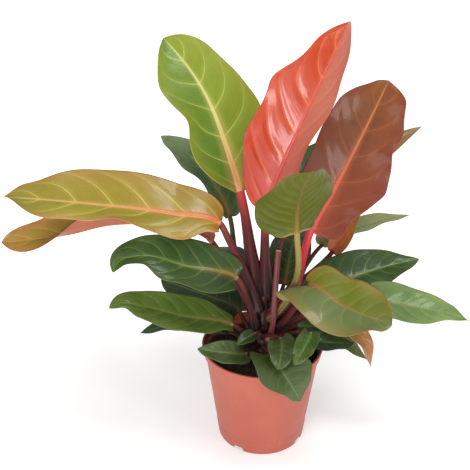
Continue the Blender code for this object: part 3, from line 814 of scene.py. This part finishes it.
LEAVES = [
    leaf(
        "lime", "lime", [foot(126, 70, 4.0), (-17, 15, 140)],
        [(-32, 28, 228), (-50, 42, 285), (-78, 60, 352), (-131, 84, 417)], (0.35, -0.9, 0.1),
        (0.1, -0.75, 0.6), 106, 5.8, fold=(10, 6), curl=(14, 8), rise=0.5, fall=0.42,
        left_wave=(2.5, 2.2, 0.1), right_wave=(2, 2.6, 0.6),
        left_margin=((0, -0.5, 0.08), (0.26, 0.08, 0.1), (0.5, -0.16, 0.09), (0.8, 0.16, 0.12)),
        right_margin=((0, -0.4, 0.08), (0.42, 0.2, 0.12), (0.74, -0.08, 0.1)), foot_swell=1.8,
    ),
    leaf(
        "orange", "orange", [foot(70, 76, 4.6), (2, 13, 140)],
        [(3, 12, 205), (22, 10, 268), (55, 14, 350), (99, 30, 448)], (-0.45, -0.8, 0.35),
        (-0.35, -0.9, 0.2), 116, 5.0, fold=(14, 44), curl=(16, 10), rise=0.5, fall=0.65, quilt=0.9,
        left_wave=(4, 2.3, 0.55), right_wave=(4, 2.4, 0.2),
        left_margin=((0.35, 0.1, 0.08), (0.64, 0.14, 0.07), (0.8, -0.12, 0.08)),
        right_margin=((0.87, 0.4, 0.1),), foot_swell=1.5,
    ),
    leaf(
        "bronze", "bronze", [foot(-8, 56, 4.2), (44, -18, 118), (51, -21, 160)],
        [(59, -13, 188), (88, 14, 231), (122, 42, 290), (162, 76, 365)], (0.1, -0.95, 0.3),
        (0.0, -0.9, 0.4), 118, 4.8, fold=(12, 8), curl=(14, 14), rise=0.4, fall=0.4,
        left_wave=(3, 2.5, 0.2), right_wave=(4, 3.2, 0.4),
        left_margin=((0.78, 0.1, 0.08), (0.95, -0.2, 0.06)),
        right_margin=(
            (0.05, 0.2, 0.05), (0.2, -0.14, 0.07), (0.4, 0.08, 0.06),
            (0.64, -0.16, 0.09), (0.82, -0.06, 0.06), (0.95, 0.15, 0.05),
        ),
        foot_swell=1.0,
    ),
    leaf(
        "tan", "tan", [foot(28, 64, 3.0), (60, 24, 100)],
        [(98, 45, 129), (143, 95, 230), (228, 130, 286)], (-0.3, -0.75, 0.5), (-0.2, -0.5, 0.8), 44,
        fold=(15, 15), foot_swell=1.8,
    ),
    leaf(
        "dusk", "dusk", [foot(125, 58, 3.0), (-38, 36, 130)],
        [(-46, 42, 185), (-76, 95, 224), (-148, 160, 262)], (0.3, -0.8, 0.5), (0.0, -0.6, 0.8), 60,
        left_wave=(3, 2.4, 0.3), left_margin=((0.25, -0.42, 0.33), (0.92, 0.15, 0.1)), foot_swell=1.8,
    ),
    leaf(
        "olive", "olive", [foot(-50, 54, 3.4), (34, -34, 105), (42, -47, 150)],
        [(38, -52, 206), (34, -110, 275), (41, -178, 335)], (-0.35, 0.65, 0.75), (-0.2, 0.6, 0.8), 102,
        3.6, fold=(10, 10), curl=(16, 16), rise=0.33, fall=0.85, quilt=1.8, point=0.01,
        left_wave=(3, 2.5, 0.1), right_wave=(3, 2.2, 0.4),
    ),
    leaf(
        "grey", "dusk", [foot(48, 44, 2.8), (54, 54, 88)],
        [(88, 85, 120), (158, 125, 132), (229, 150, 139)], (0.1, 0.08, 0.95), (0.0, 0.12, 0.95), 60,
        2.8, skin="grey", foot_swell=1.8,
    ),
    leaf(
        "gold", "gold", [foot(235, 66, 4.2), (-28, -3, 128), (-48, -7, 176)],
        [(-58, -12, 199), (-122, -22, 219), (-210, -26, 232), (-330, -20, 240)], (0.25, -0.45, 0.85),
        (-0.05, -0.45, 0.9), 98, 4.2, fold=(4, 10), curl=(-8, 14), fall=0.6, left_wave=(5, 2, 0.35),
        right_wave=(2.5, 3.1, 0.0),
        left_margin=(
            (0.1, -0.3, 0.06), (0.3, -0.2, 0.12), (0.5, -0.5, 0.13),
            (0.7, -0.35, 0.1), (0.97, -0.3, 0.06),
        ),
        right_margin=((0.7, 0.14, 0.25), (0.95, 0.3, 0.05)), foot_swell=1.5,
    ),
    leaf(
        "coral", "coral", [foot(175, 58, 3.9), (-38, 12, 104), (-60, 17, 142)],
        [
            (-70, 18, 158), (-150, 32, 178), (-210, 32, 177),
            (-262, 22, 168), (-311, 2, 169), (-344, -15, 174),
        ],
        (0.1, -0.3, 0.95), (-0.2, -0.8, 0.55), 78, 3.9, fold=(4, 12), fall=0.4,
        closing=(84, 0.62, 0.98), left_margin=((0.8, -0.35, 0.16),),
        right_margin=((0.86, -0.15, 0.12),), foot_swell=1.1,
    ),
    leaf(
        "green_left", "green", [foot(222, 40, 3.0), (-20, -18, 85)],
        [(-36, -26, 126), (-101, -40, 152), (-158, -48, 171), (-184, -57, 168), (-192, -64, 156)],
        (0.15, -0.6, 0.8), (-0.3, -0.5, 0.8), 76, 3.4, fall=0.6, fold=(10, 12), curl=(-8, 10),
        left_wave=(3, 2.4, 0.2), right_wave=(2, 3.2, 0.1),
        left_margin=((0.0, 0.25, 0.05), (0.45, -0.2, 0.12), (0.75, -0.5, 0.14)),
        right_margin=((0.15, -0.1, 0.08), (0.68, -0.1, 0.12)), foot_swell=1.4,
    ),
    leaf(
        "blue_left", "deep", [foot(160, 22, 2.8), (-30, 16, 44)],
        [(-32, 20, 47), (-70, 36, 60), (-112, 58, 64), (-149, 80, 65)], (0.1, -0.6, 0.8),
        (0, -0.4, 0.9), 80, 2.8, rise=0.34, lobe=(34, 20), left_margin=((0.12, 0.5, 0.25),),
    ),
    leaf(
        "low_left", "green", [foot(207, 14, 3.0)],
        [(-42, -20, 50), (-110, -36, 75), (-163, -46, 96), (-190, -52, 103), (-202, -58, 99)],
        (0.1, -0.4, 0.9), (-0.2, -0.4, 0.9), 64, 3.0, skin="low_green", fall=0.55, fold=(8, 12),
        curl=(-4, 10), left_margin=((0.12, -0.3, 0.08), (0.4, -0.14, 0.3), (0.88, -0.5, 0.08)),
        right_margin=((0.12, -0.28, 0.1), (0.7, -0.12, 0.2)), foot_swell=1.0,
    ),
    leaf(
        "hid_left", "deep", [foot(180, 10, 2.6)], [(-50, 8, 22), (-110, 5, 36), (-172, 0, 23)],
        (0, -0.1, 1), (-0.3, -0.1, 0.9), 50, 2.6,
    ),
    leaf(
        "green_right", "green", [foot(18, 39, 3.0), (50, 2, 82)],
        [(84, 0, 96), (150, 18, 114), (217, 30, 126)], (-0.1, -0.4, 0.9), (0.1, -0.4, 0.9), 68, 3.0,
        rise=0.35, fold=(16, 4), curl=(16, -6), left_wave=(1.5, 3, 0.1), right_wave=(3, 2.2, 0.6),
        left_margin=((0.05, 0.4, 0.15), (0.35, 0.12, 0.2), (0.9, -0.25, 0.15)), foot_swell=1.8,
    ),
    leaf(
        "far_right", "green", [foot(8, 28, 3.0), (65, -17, 70)],
        [(119, -20, 88), (207, -30, 83), (274, -40, 69)], (0.0, -0.4, 0.9), (0.2, -0.4, 0.9), 62, 3.0,
        skin="pale_green", fall=0.8, left_wave=(3, 2.6, 0.4), right_wave=(2.5, 2.2, 0.1), fold=(12, 2),
        curl=(10, -8), left_margin=((0.9, 0.4, 0.08),),
        right_margin=((0.35, -0.22, 0.1), (0.82, -0.45, 0.12)), foot_swell=1.8,
    ),
    leaf(
        "front_right", "moss", [foot(-40, 34, 3.2), (30, -30, 66), (44, -44, 100)],
        [(57, -52, 130), (98, -90, 121), (151, -123, 117)], (0.1, -0.5, 0.85), (0.3, -0.5, 0.8), 92,
        3.2, fold=(10, 2), curl=(12, -6), lobe=(24, 70), lobe_power=(2, 0.7), lobe_fade=2.2, rise=0.34,
        fall=0.42, left_wave=(2, 2.2, 0.1), right_wave=(4, 2.1, 0.5),
        left_margin=((0.0, -0.5, 0.1), (0.3, -0.2, 0.2), (0.8, 0.1, 0.1)),
        right_margin=((0.3, 0.04, 0.2), (0.86, -0.3, 0.1)),
    ),
    leaf(
        "rust", "rust", [foot(5, 20, 2.4)], [(95, 0, 48), (136, -10, 25), (151, -25, -16)],
        (0.3, -0.5, 0.8), (0.7, -0.6, 0.2), 34, 2.4,
    ),
    leaf(
        "low_right", "deep", [foot(-22, 8, 2.6)], [(50, -12, 22), (92, -15, 18), (129, -8, 12)],
        (0, -0.3, 1), (0, -0.3, 1), 42, 2.6,
    ),
    leaf(
        "bright", "fresh", [foot(20, 12, 2.4)],
        [(50, 14, 26), over_rim(9, 25, -6), over_rim(4, 68, -38)], (0.2, -0.4, 0.9), (0.5, -0.4, 0.7),
        36, 2.4,
    ),
    leaf(
        "small_front", "fresh", [foot(-14, 16, 2.2), (30, -31, 43)],
        [(62, -52, 58), (54, -68, 50), (38, -88, 32)], (0.1, -0.6, 0.8), (-0.2, -0.8, 0.5), 30, 2.2,
    ),
    leaf(
        "heart", "heart", [foot(-85, 10, 2.6)],
        [(10, -62, 30), over_rim(-73, 12, 5), over_rim(-64, 24, -26)], (0.1, -0.4, 0.9),
        (0.3, -0.8, 0.5), 70, 2.6, lobe=(24, 24), rise=0.28,
        left_margin=((0.6, 0.35, 0.2), (0.87, 0.5, 0.12)),
        right_margin=((0.42, 0.15, 0.12), (0.75, -0.25, 0.15)),
    ),
    leaf(
        "small_dark", "deep", [foot(-92, 26, 2.2), (8, -33, 42)],
        [(22, -50, 48), (22, -74, 42), (16, -96, 30)], (0, -0.5, 0.9), (0, -0.7, 0.7), 40, 2.2,
        skin="heart",
    ),
    leaf(
        "rim_left", "heart", [foot(240, 10, 2.4)], [(-24, -45, 20), (-56, -65, 36), (-89, -60, 38)],
        (0, -0.6, 0.8), (-0.1, -0.6, 0.8), 36, 2.4,
    ),
    leaf(
        "tiny", "moss", [foot(262, 34, 1.6)], [(-12, -36, 47), (-24, -47, 46), (-36, -56, 42)],
        (0, -0.6, 0.8), (-0.3, -0.6, 0.7), 20, 1.6, skin="deep", lobe=(3, 3), quilt=0.2,
        left_wave=(0.2, 2, 0), right_wave=(0.2, 2, 0.5),
    ),
    leaf(
        "inner_right", "deep", [foot(40, 12, 2.6)], [(40, 36, 40), (66, 46, 58), (98, 54, 62)],
        (-0.1, -0.8, 0.6), (0.1, -0.7, 0.7), 50, 2.6, lobe=(14, 14),
    ),
    leaf(
        "rear_mid", "green", [foot(80, 46, 3.0), (14, 38, 95)],
        [(28, 56, 145), (58, 112, 208), (98, 178, 250)], (-0.3, -0.8, 0.6), (-0.1, -0.5, 0.85), 74,
        3.0, foot_swell=1.2,
    ),
    leaf(
        "rear_right", "green", [foot(70, 26, 2.8)], [(32, 54, 72), (46, 108, 104), (66, 168, 110)],
        (0, -0.2, 1), (0.1, 0.3, 0.95), 66, 2.8, foot_swell=1.4,
    ),
    leaf(
        "rear_left", "deep", [foot(125, 24, 2.8)], [(-28, 64, 60), (-48, 116, 80), (-70, 172, 72)],
        (0, -0.2, 1), (-0.1, 0.3, 0.95), 64, 2.8, foot_swell=1.4,
    ),
    leaf(
        "rear_low", "heart", [foot(88, 10, 2.6)],
        [(2, 58, 28), over_rim(86, 13, 6), over_rim(82, 40, -30)], (0, 0.3, 0.95), (0, 0.8, 0.5), 56,
        2.6, lobe=(14, 14),
    ),
]


def turned_rings(profile, around):
    """Each (radius, height) of a profile as a ring of points round Z."""
    profile = np.array(profile)
    turn = np.arange(around) * 2 * math.pi / around
    radius, height = profile[:, 0][:, None], profile[:, 1][:, None]
    return np.stack((radius * np.cos(turn), radius * np.sin(turn), height + 0 * turn), -1)


def turned_skin(rings):
    """Faces of a turned shape whose first and last rings are its poles."""
    rows, around = rings.shape[:2]
    points = np.concatenate((rings[1:-1].reshape(-1, 3), rings[0, :1], rings[-1, :1]))
    faces = belt_faces(rows - 2, around)
    faces += pole_faces((rows - 2) * around, 0, around)
    faces += pole_faces((rows - 2) * around + 1, (rows - 3) * around, around, flip=True)
    return points, faces


def wall_radius(height):
    """The pot's outer radius below its rim band."""
    top = RIM_RADIUS - RIM_STEP
    return FOOT_RADIUS + (top - FOOT_RADIUS) * height / (POT_HEIGHT - RIM_BAND)


def rounded(corners, radius, steps):
    """A line of (radius, height) points whose corners are turned into small arcs.

    Each corner becomes the quadratic curve from a point before it to a point after it.
    """
    corners = np.array(corners, float)
    line = [corners[:1]]
    share = np.linspace(0, 1, steps)[:, None]
    for before, corner, after in zip(corners, corners[1:], corners[2:]):
        into, away = before - corner, after - corner
        start = corner + into * min(radius / np.linalg.norm(into), 0.45)
        end = corner + away * min(radius / np.linalg.norm(away), 0.45)
        line.append((1 - share) ** 2 * start + 2 * share * (1 - share) * corner + share**2 * end)
    line.append(corners[-1:])
    return np.concatenate(line)


def pot_line():
    """The pot's section, from the middle of its floor up the inside, over the lip and down."""
    band = POT_HEIGHT - RIM_BAND
    inner_rim = RIM_RADIUS - POT_WALL
    floor_top = FOOT_RAISE + POT_WALL
    corners = [
        (0, POT_WALL),
        (FOOT_PAD - LIP, POT_WALL),
        (FOOT_PAD + FOOT_RAISE - LIP, floor_top),
        (wall_radius(floor_top) - POT_WALL - LIP / 2, floor_top),
        (wall_radius(floor_top + LIP) - POT_WALL, floor_top + 2 * LIP),
        (wall_radius(band - POT_WALL) - POT_WALL, band - POT_WALL),
        (inner_rim - LIP, band + POT_WALL),
        (inner_rim - LIP / 2, POT_HEIGHT),
        (RIM_RADIUS + LIP / 2, POT_HEIGHT),
        (RIM_RADIUS + LIP / 2, POT_HEIGHT - 2 * LIP),
        (RIM_RADIUS - LIP / 2, POT_HEIGHT - 2.6 * LIP),
        (RIM_RADIUS - LIP, band),
        (wall_radius(band), band),
        (wall_radius(FOOT_BAND_TOP), FOOT_BAND_TOP),
        (wall_radius(FOOT_BAND) + FOOT_BAND_STEP, FOOT_BAND),
        (wall_radius(LIP) + FOOT_BAND_STEP, LIP / 2),
        (FOOT_RADIUS - LIP, 0),
        (FOOT_RADIUS - 3 * LIP, 0),
        (FOOT_RADIUS - 4 * LIP, FOOT_RAISE),
        (FOOT_PAD + FOOT_RAISE, FOOT_RAISE),
        (FOOT_PAD, 0),
        (0, 0),
    ]
    return rounded(corners, CORNER_ARC, 5)


def foot_cutter():
    """Four sloping blocks through the foot and a ring of upright rods through the floor."""
    corner = np.array([(x, y, z) for x in (-1, 1) for y in (-1, 1) for z in (0, 1)], float)
    box = [(0, 1, 3, 2), (4, 6, 7, 5), (0, 4, 5, 1), (2, 3, 7, 6), (0, 2, 6, 4), (1, 5, 7, 3)]
    points, faces = [], []
    for index in range(NOTCH_COUNT):
        angle = math.radians(-90) + NOTCH_TURN + index * 2 * math.pi / NOTCH_COUNT
        x = FOOT_RADIUS + corner[:, 0] * 4 * FOOT_RAISE
        y = corner[:, 1] * NOTCH_WIDTH / 2 * (1 - NOTCH_NARROWING * corner[:, 2])
        z = np.where(corner[:, 2] > 0, NOTCH_HEIGHT, -FOOT_RAISE)
        east, north = math.cos(angle), math.sin(angle)
        faces += [tuple(8 * index + i for i in face) for face in box]
        points.append(np.stack((x * east - y * north, x * north + y * east, z), -1))
    start = 8 * NOTCH_COUNT
    rod = np.arange(DRAIN_SIDES) * 2 * math.pi / DRAIN_SIDES
    for index in range(DRAIN_COUNT):
        angle = 2 * math.pi * index / DRAIN_COUNT
        x = DRAIN_CIRCLE * math.cos(angle) + DRAIN_RADIUS * np.cos(rod)
        y = DRAIN_CIRCLE * math.sin(angle) + DRAIN_RADIUS * np.sin(rod)
        for z in (FOOT_RAISE - 3 * POT_WALL, FOOT_RAISE + 3 * POT_WALL):
            points.append(np.stack((x, y, np.full(DRAIN_SIDES, z)), -1))
        faces += belt_faces(2, DRAIN_SIDES, start, flip=True)
        faces.append(tuple(start + i for i in range(DRAIN_SIDES))[::-1])
        faces.append(tuple(start + DRAIN_SIDES + i for i in range(DRAIN_SIDES)))
        start += 2 * DRAIN_SIDES
    return np.concatenate(points), faces


def build_pot():
    """The pot's section turned round Z, with its foot notches and drain holes cut out."""
    plastic = pot_plastic()
    pot = add_piece("pot_shell", *turned_skin(turned_rings(pot_line()[::-1], POT_SIDES)), plastic)
    cutter = add_piece("foot_cutter", *foot_cutter(), plastic)
    cut = pot.modifiers.new("foot", "BOOLEAN")
    cut.operation = "DIFFERENCE"
    cut.solver = "EXACT"
    cut.object = cutter
    bpy.context.view_layer.update()
    drilled = bpy.data.meshes.new_from_object(pot.evaluated_get(bpy.context.evaluated_depsgraph_get()))
    pot.modifiers.clear()
    pot.data = drilled
    drilled.name = "pot_shell"
    bpy.data.objects.remove(cutter)
    drilled.shade_smooth()
    drilled.set_sharp_from_angle(angle=math.radians(40))
    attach(pot, "root")
    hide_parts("pot")


def rough_ground(x, y, seed, sizes):
    """A lumpy height: sine waves in random directions, some of each (count, length, height)."""
    chance = np.random.default_rng(seed)
    height = np.zeros_like(x)
    for count, length, tall in sizes:
        ways, phases = chance.uniform(0, 2 * math.pi, (2, count))
        for way, phase in zip(ways, phases):
            far = x * math.cos(way) + y * math.sin(way)
            height = height + tall * np.sin(far * 2 * math.pi / length + phase)
    return height


def soil_height(x, y):
    """The soil's surface: a low dome with lumps, which dips further against the pot's wall.

    At the share r of the soil's radius it lies SOIL_DOME * r^2 + SOIL_GUTTER * r^10 lower.
    """
    away = np.clip(np.hypot(x, y) / SOIL_RADIUS, 0, 1)
    lumps = rough_ground(x, y, 7, [(5, 0.030, 0.0006), (6, 0.011, 0.0004), (7, 0.0042, 0.00022)])
    return CROWN_Z - SOIL_SHY - SOIL_DOME * away**2 - SOIL_GUTTER * away**10 + lumps


def build_soil():
    """A closed round grid: a lumpy top, then the root ball's side and floor; crumbs lie on it."""
    skin = peat()
    inner = np.linspace(0, SOIL_RADIUS - SOIL_EDGE, 100)
    top = turned_rings(np.stack((inner, inner * 0), -1), SOIL_SIDES)
    top[..., 2] = soil_height(top[..., 0], top[..., 1])
    gap = POT_WALL + LIP
    side = [
        (SOIL_RADIUS - SOIL_EDGE_STEP, POT_HEIGHT - ROOT_BALL_TOP),
        (wall_radius(POT_HEIGHT / 2) - gap, POT_HEIGHT / 2),
        (wall_radius(ROOT_BALL_FOOT) - gap - ROOT_BALL_BEVEL, ROOT_BALL_FOOT),
        (wall_radius(ROOT_BALL_FOOT - 2 * ROOT_BALL_BEVEL) - gap - 3 * ROOT_BALL_BEVEL, SOIL_LOW.z),
        (0, SOIL_LOW.z),
    ]
    rings = np.concatenate((top, turned_rings(side, SOIL_SIDES)))[::-1]
    soil = add_piece("peat_ball", *turned_skin(rings), skin)
    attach(soil, "root")
    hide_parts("soil")
    build_crumbs(skin)


def build_crumbs(skin):
    """Small lumps scattered evenly over the soil: six-sided balls whose points are pushed about.

    A crumb's size is the smallest size plus the range times the cube of a random share, so
    that most are small.
    """
    chance = np.random.default_rng(11)
    count = CRUMB_COUNT
    away = SOIL_RADIUS * 0.95 * np.sqrt(chance.uniform(0.04, 1, count))
    turn = chance.uniform(0, 2 * math.pi, count)
    size = CRUMB_LEAST + CRUMB_RANGE * chance.uniform(0, 1, count) ** 3
    x, y = away * np.cos(turn), away * np.sin(turn)
    across, down = 6, 4
    lat = np.linspace(0, math.pi, down + 1)[1:-1]
    lon = np.arange(across) * 2 * math.pi / across
    belt = np.sin(lat)[:, None]
    ball = np.stack((belt * np.cos(lon), belt * np.sin(lon), np.cos(lat)[:, None] + 0 * lon), -1)
    ball = np.concatenate((ball.reshape(-1, 3), [(0, 0, 1), (0, 0, -1)]))
    lumps = ball[None] * chance.uniform(0.6, 1.3, (count, len(ball), 1)) * size[:, None, None]
    lumps = lumps * chance.uniform(0.5, 1.5, (count, 1, 3))
    lumps = lumps + np.stack((x, y, soil_height(x, y) + size * 0.3), -1)[:, None]
    one = belt_faces(down - 1, across)
    one += pole_faces(len(ball) - 2, 0, across)
    one += pole_faces(len(ball) - 1, (down - 2) * across, across, flip=True)
    faces = [[index * len(ball) + corner for corner in face] for index in range(count) for face in one]
    crumbs = add_piece("peat_crumbs", lumps, faces, skin)
    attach(crumbs, "root")


def tube_marks(rows, around, wound):
    """The marks that bark reads: the climb, the place round the ring, and the cut end."""
    turn = np.arange(around) * 2 * math.pi / around
    grid = np.ones((rows, around))
    marks = {
        "climb": grid * np.linspace(0, 1, rows)[:, None],
        "ring_x": grid * np.cos(turn),
        "ring_y": grid * np.sin(turn),
        "wound": grid * wound[:, None],
    }
    return {key: with_poles(value) for key, value in marks.items()}


def build_stem():
    """A round stem that tapers evenly and ends in a quarter round.

    A bell-shaped groove runs round it at each old leaf's place, and low sine ridges run up it.
    """
    rows, around = 130, 64
    height = np.linspace(STEM_LOW.z, STEM_HIGH.z, rows)
    share = np.clip((height - CROWN_Z) / STEM_HEIGHT, 0, 1)
    radius = STEM_RADIUS + (STEM_TOP_RADIUS - STEM_RADIUS) * share
    end = np.clip((STEM_HIGH.z - height) / STEM_DOME, 0, 1)
    radius = radius * np.sqrt(1 - (1 - end) ** 2)
    above_groove = (share * STEM_GROOVES) % 1 - 0.5
    radius = radius - STEM_GROOVE_DEPTH * np.exp(-((above_groove / 0.08) ** 2)) * end
    rings = turned_rings(np.stack((np.maximum(radius, 0.0002), height), -1), around)
    turn = np.arange(around) * 2 * math.pi / around
    ridges = 1 - STEM_RIDGE_SHARE * (0.5 + 0.5 * np.sin(STEM_RIDGES * turn + 3))
    rings[..., :2] *= ridges[:, None]
    stem = add_piece(
        "stem_bark_skin", *closed_skin(rings[:, ::-1]),
        bark("stem_bark_skin", colour(40, 22, 22), colour(66, 34, 32), colour(100, 66, 54)),
        tube_marks(rows, around, np.zeros(rows)),
    )
    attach(stem, "root")
    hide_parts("stem")


def build_cut_stalk():
    """The stub of a removed leaf: a round tube along a smooth curve.

    Its radius swells at the foot as a bell curve of the length. Its end is cut off: the last
    rings draw in over the cut, which is dished and dries pale.
    """
    points = [foot(-62, 24, CUT_FOOT_RADIUS / MM), (13, -28, 62), (14, -28, 95), (18, -20, 164)]
    points = [crown(*point) for point in points]
    rows, around = 120, 40
    total = length_of(points)
    share = np.concatenate((np.linspace(0, 1, rows - CUT_ROWS), np.ones(CUT_ROWS)))
    centre, along = smooth_curve(points, share * total)
    up = square_to(np.tile((0.0, -1.0, 0.1), (rows, 1)), along)
    across = np.cross(along, up)
    radius = CUT_RADIUS * (0.9 + 0.08 * (1 - share) + 0.30 * np.exp(-((share / 0.07) ** 2)))
    draw = np.array([0.97, 0.9, 0.75, 0.5, 0.25, 0.05])
    radius[-CUT_ROWS:] *= draw
    centre[-CUT_ROWS:] -= along[-CUT_ROWS:] * (CUT_DISH * (1 - draw))[:, None]
    turn = np.arange(around) * 2 * math.pi / around
    out = radius[:, None] * np.cos(turn) * (1 + 0.03 * np.cos(5 * turn))
    high = radius[:, None] * np.sin(turn) * 0.94
    rings = centre[:, None] + out[..., None] * across[:, None] + high[..., None] * up[:, None]
    wound = np.concatenate((np.zeros(rows - CUT_ROWS), [0.2, 0.8, 1, 1, 0.9, 0.8]))
    stub = add_piece(
        "cut_stalk_stub", *closed_skin(rings),
        bark("cut_stalk_skin", colour(214, 128, 112), colour(104, 38, 42), colour(150, 96, 84)),
        tube_marks(rows, around, wound),
    )
    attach(stub, "root")
    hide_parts("cut_stalk")


# ---------------------------------------------------------------- stage


def build_stage():
    """A plain pale floor that brightens outwards, soft daylight all round, and four lamps."""
    finish = Finish("floor_paint")
    east, north, _ = finish.parts(finish.place())
    away = finish.rise((east**2 + north**2) ** 0.5, 0.1, 0.9)
    finish.fill(
        finish.shader,
        {
            "Base Color": FLOOR_TINT,
            "Roughness": 0.9,
            "Emission Color": finish.mix(away, FLOOR_GLOW_NEAR, FLOOR_GLOW_FAR),
            "Emission Strength": 1.0,
        },
    )
    corners = FLOOR_REACH * np.array([(-1, -1, 0), (1, -1, 0), (1, 1, 0), (-1, 1, 0)], float)
    floor = add_piece("floor", corners, [(0, 1, 2, 3)], finish.material)
    world = bpy.data.worlds.new("daylight")
    bpy.context.scene.world = world
    world.use_nodes = True
    sky = world.node_tree.nodes["Background"].inputs
    sky["Color"].default_value = (1, 1, 1, 1)
    sky["Strength"].default_value = DAYLIGHT
    for name, place, size, power in (
        ("key_lamp", (-0.75, -1.35, 1.45), 0.9, 11),
        ("top_lamp", (0.55, -0.38, 1.75), 0.45, 9),
        ("low_lamp", (-0.45, -1.25, 0.32), 0.32, 5),
        ("side_lamp", (1.1, -0.95, 0.5), 0.32, 4),
    ):
        light = bpy.data.lights.new(name, "AREA")
        light.size = size
        light.energy = power
        lamp = bpy.data.objects.new(name, light)
        lamp.location = place
        aim = np.array((0, 0, LAMP_AIM)) - np.array(place)
        lamp.rotation_euler = (
            math.acos(-aim[2] / np.linalg.norm(aim)), 0, math.atan2(aim[1], aim[0]) - math.pi / 2
        )
        bpy.context.scene.collection.objects.link(lamp)
    bpy.context.scene.view_settings.view_transform = "Standard"


def build_camera():
    """Looks down at the plant from the front, a little to the left of the pot."""
    lens = bpy.data.cameras.new("camera")
    lens.sensor_width = 36
    lens.lens = CAMERA_LENS
    camera = bpy.data.objects.new("camera", lens)
    camera.location = CAMERA_PLACE
    camera.rotation_euler = (math.pi / 2 - CAMERA_DIP, 0, 0)
    bpy.context.scene.collection.objects.link(camera)
    bpy.context.scene.camera = camera


def main():
    build_stage()
    build_camera()
    build_pot()
    build_soil()
    build_stem()
    build_cut_stalk()
    skins = {key: leaf_skin("leaf_" + key + "_skin", values) for key, values in LOOKS.items()}
    for design in LEAVES:
        leaf_piece(design, skins)


main()
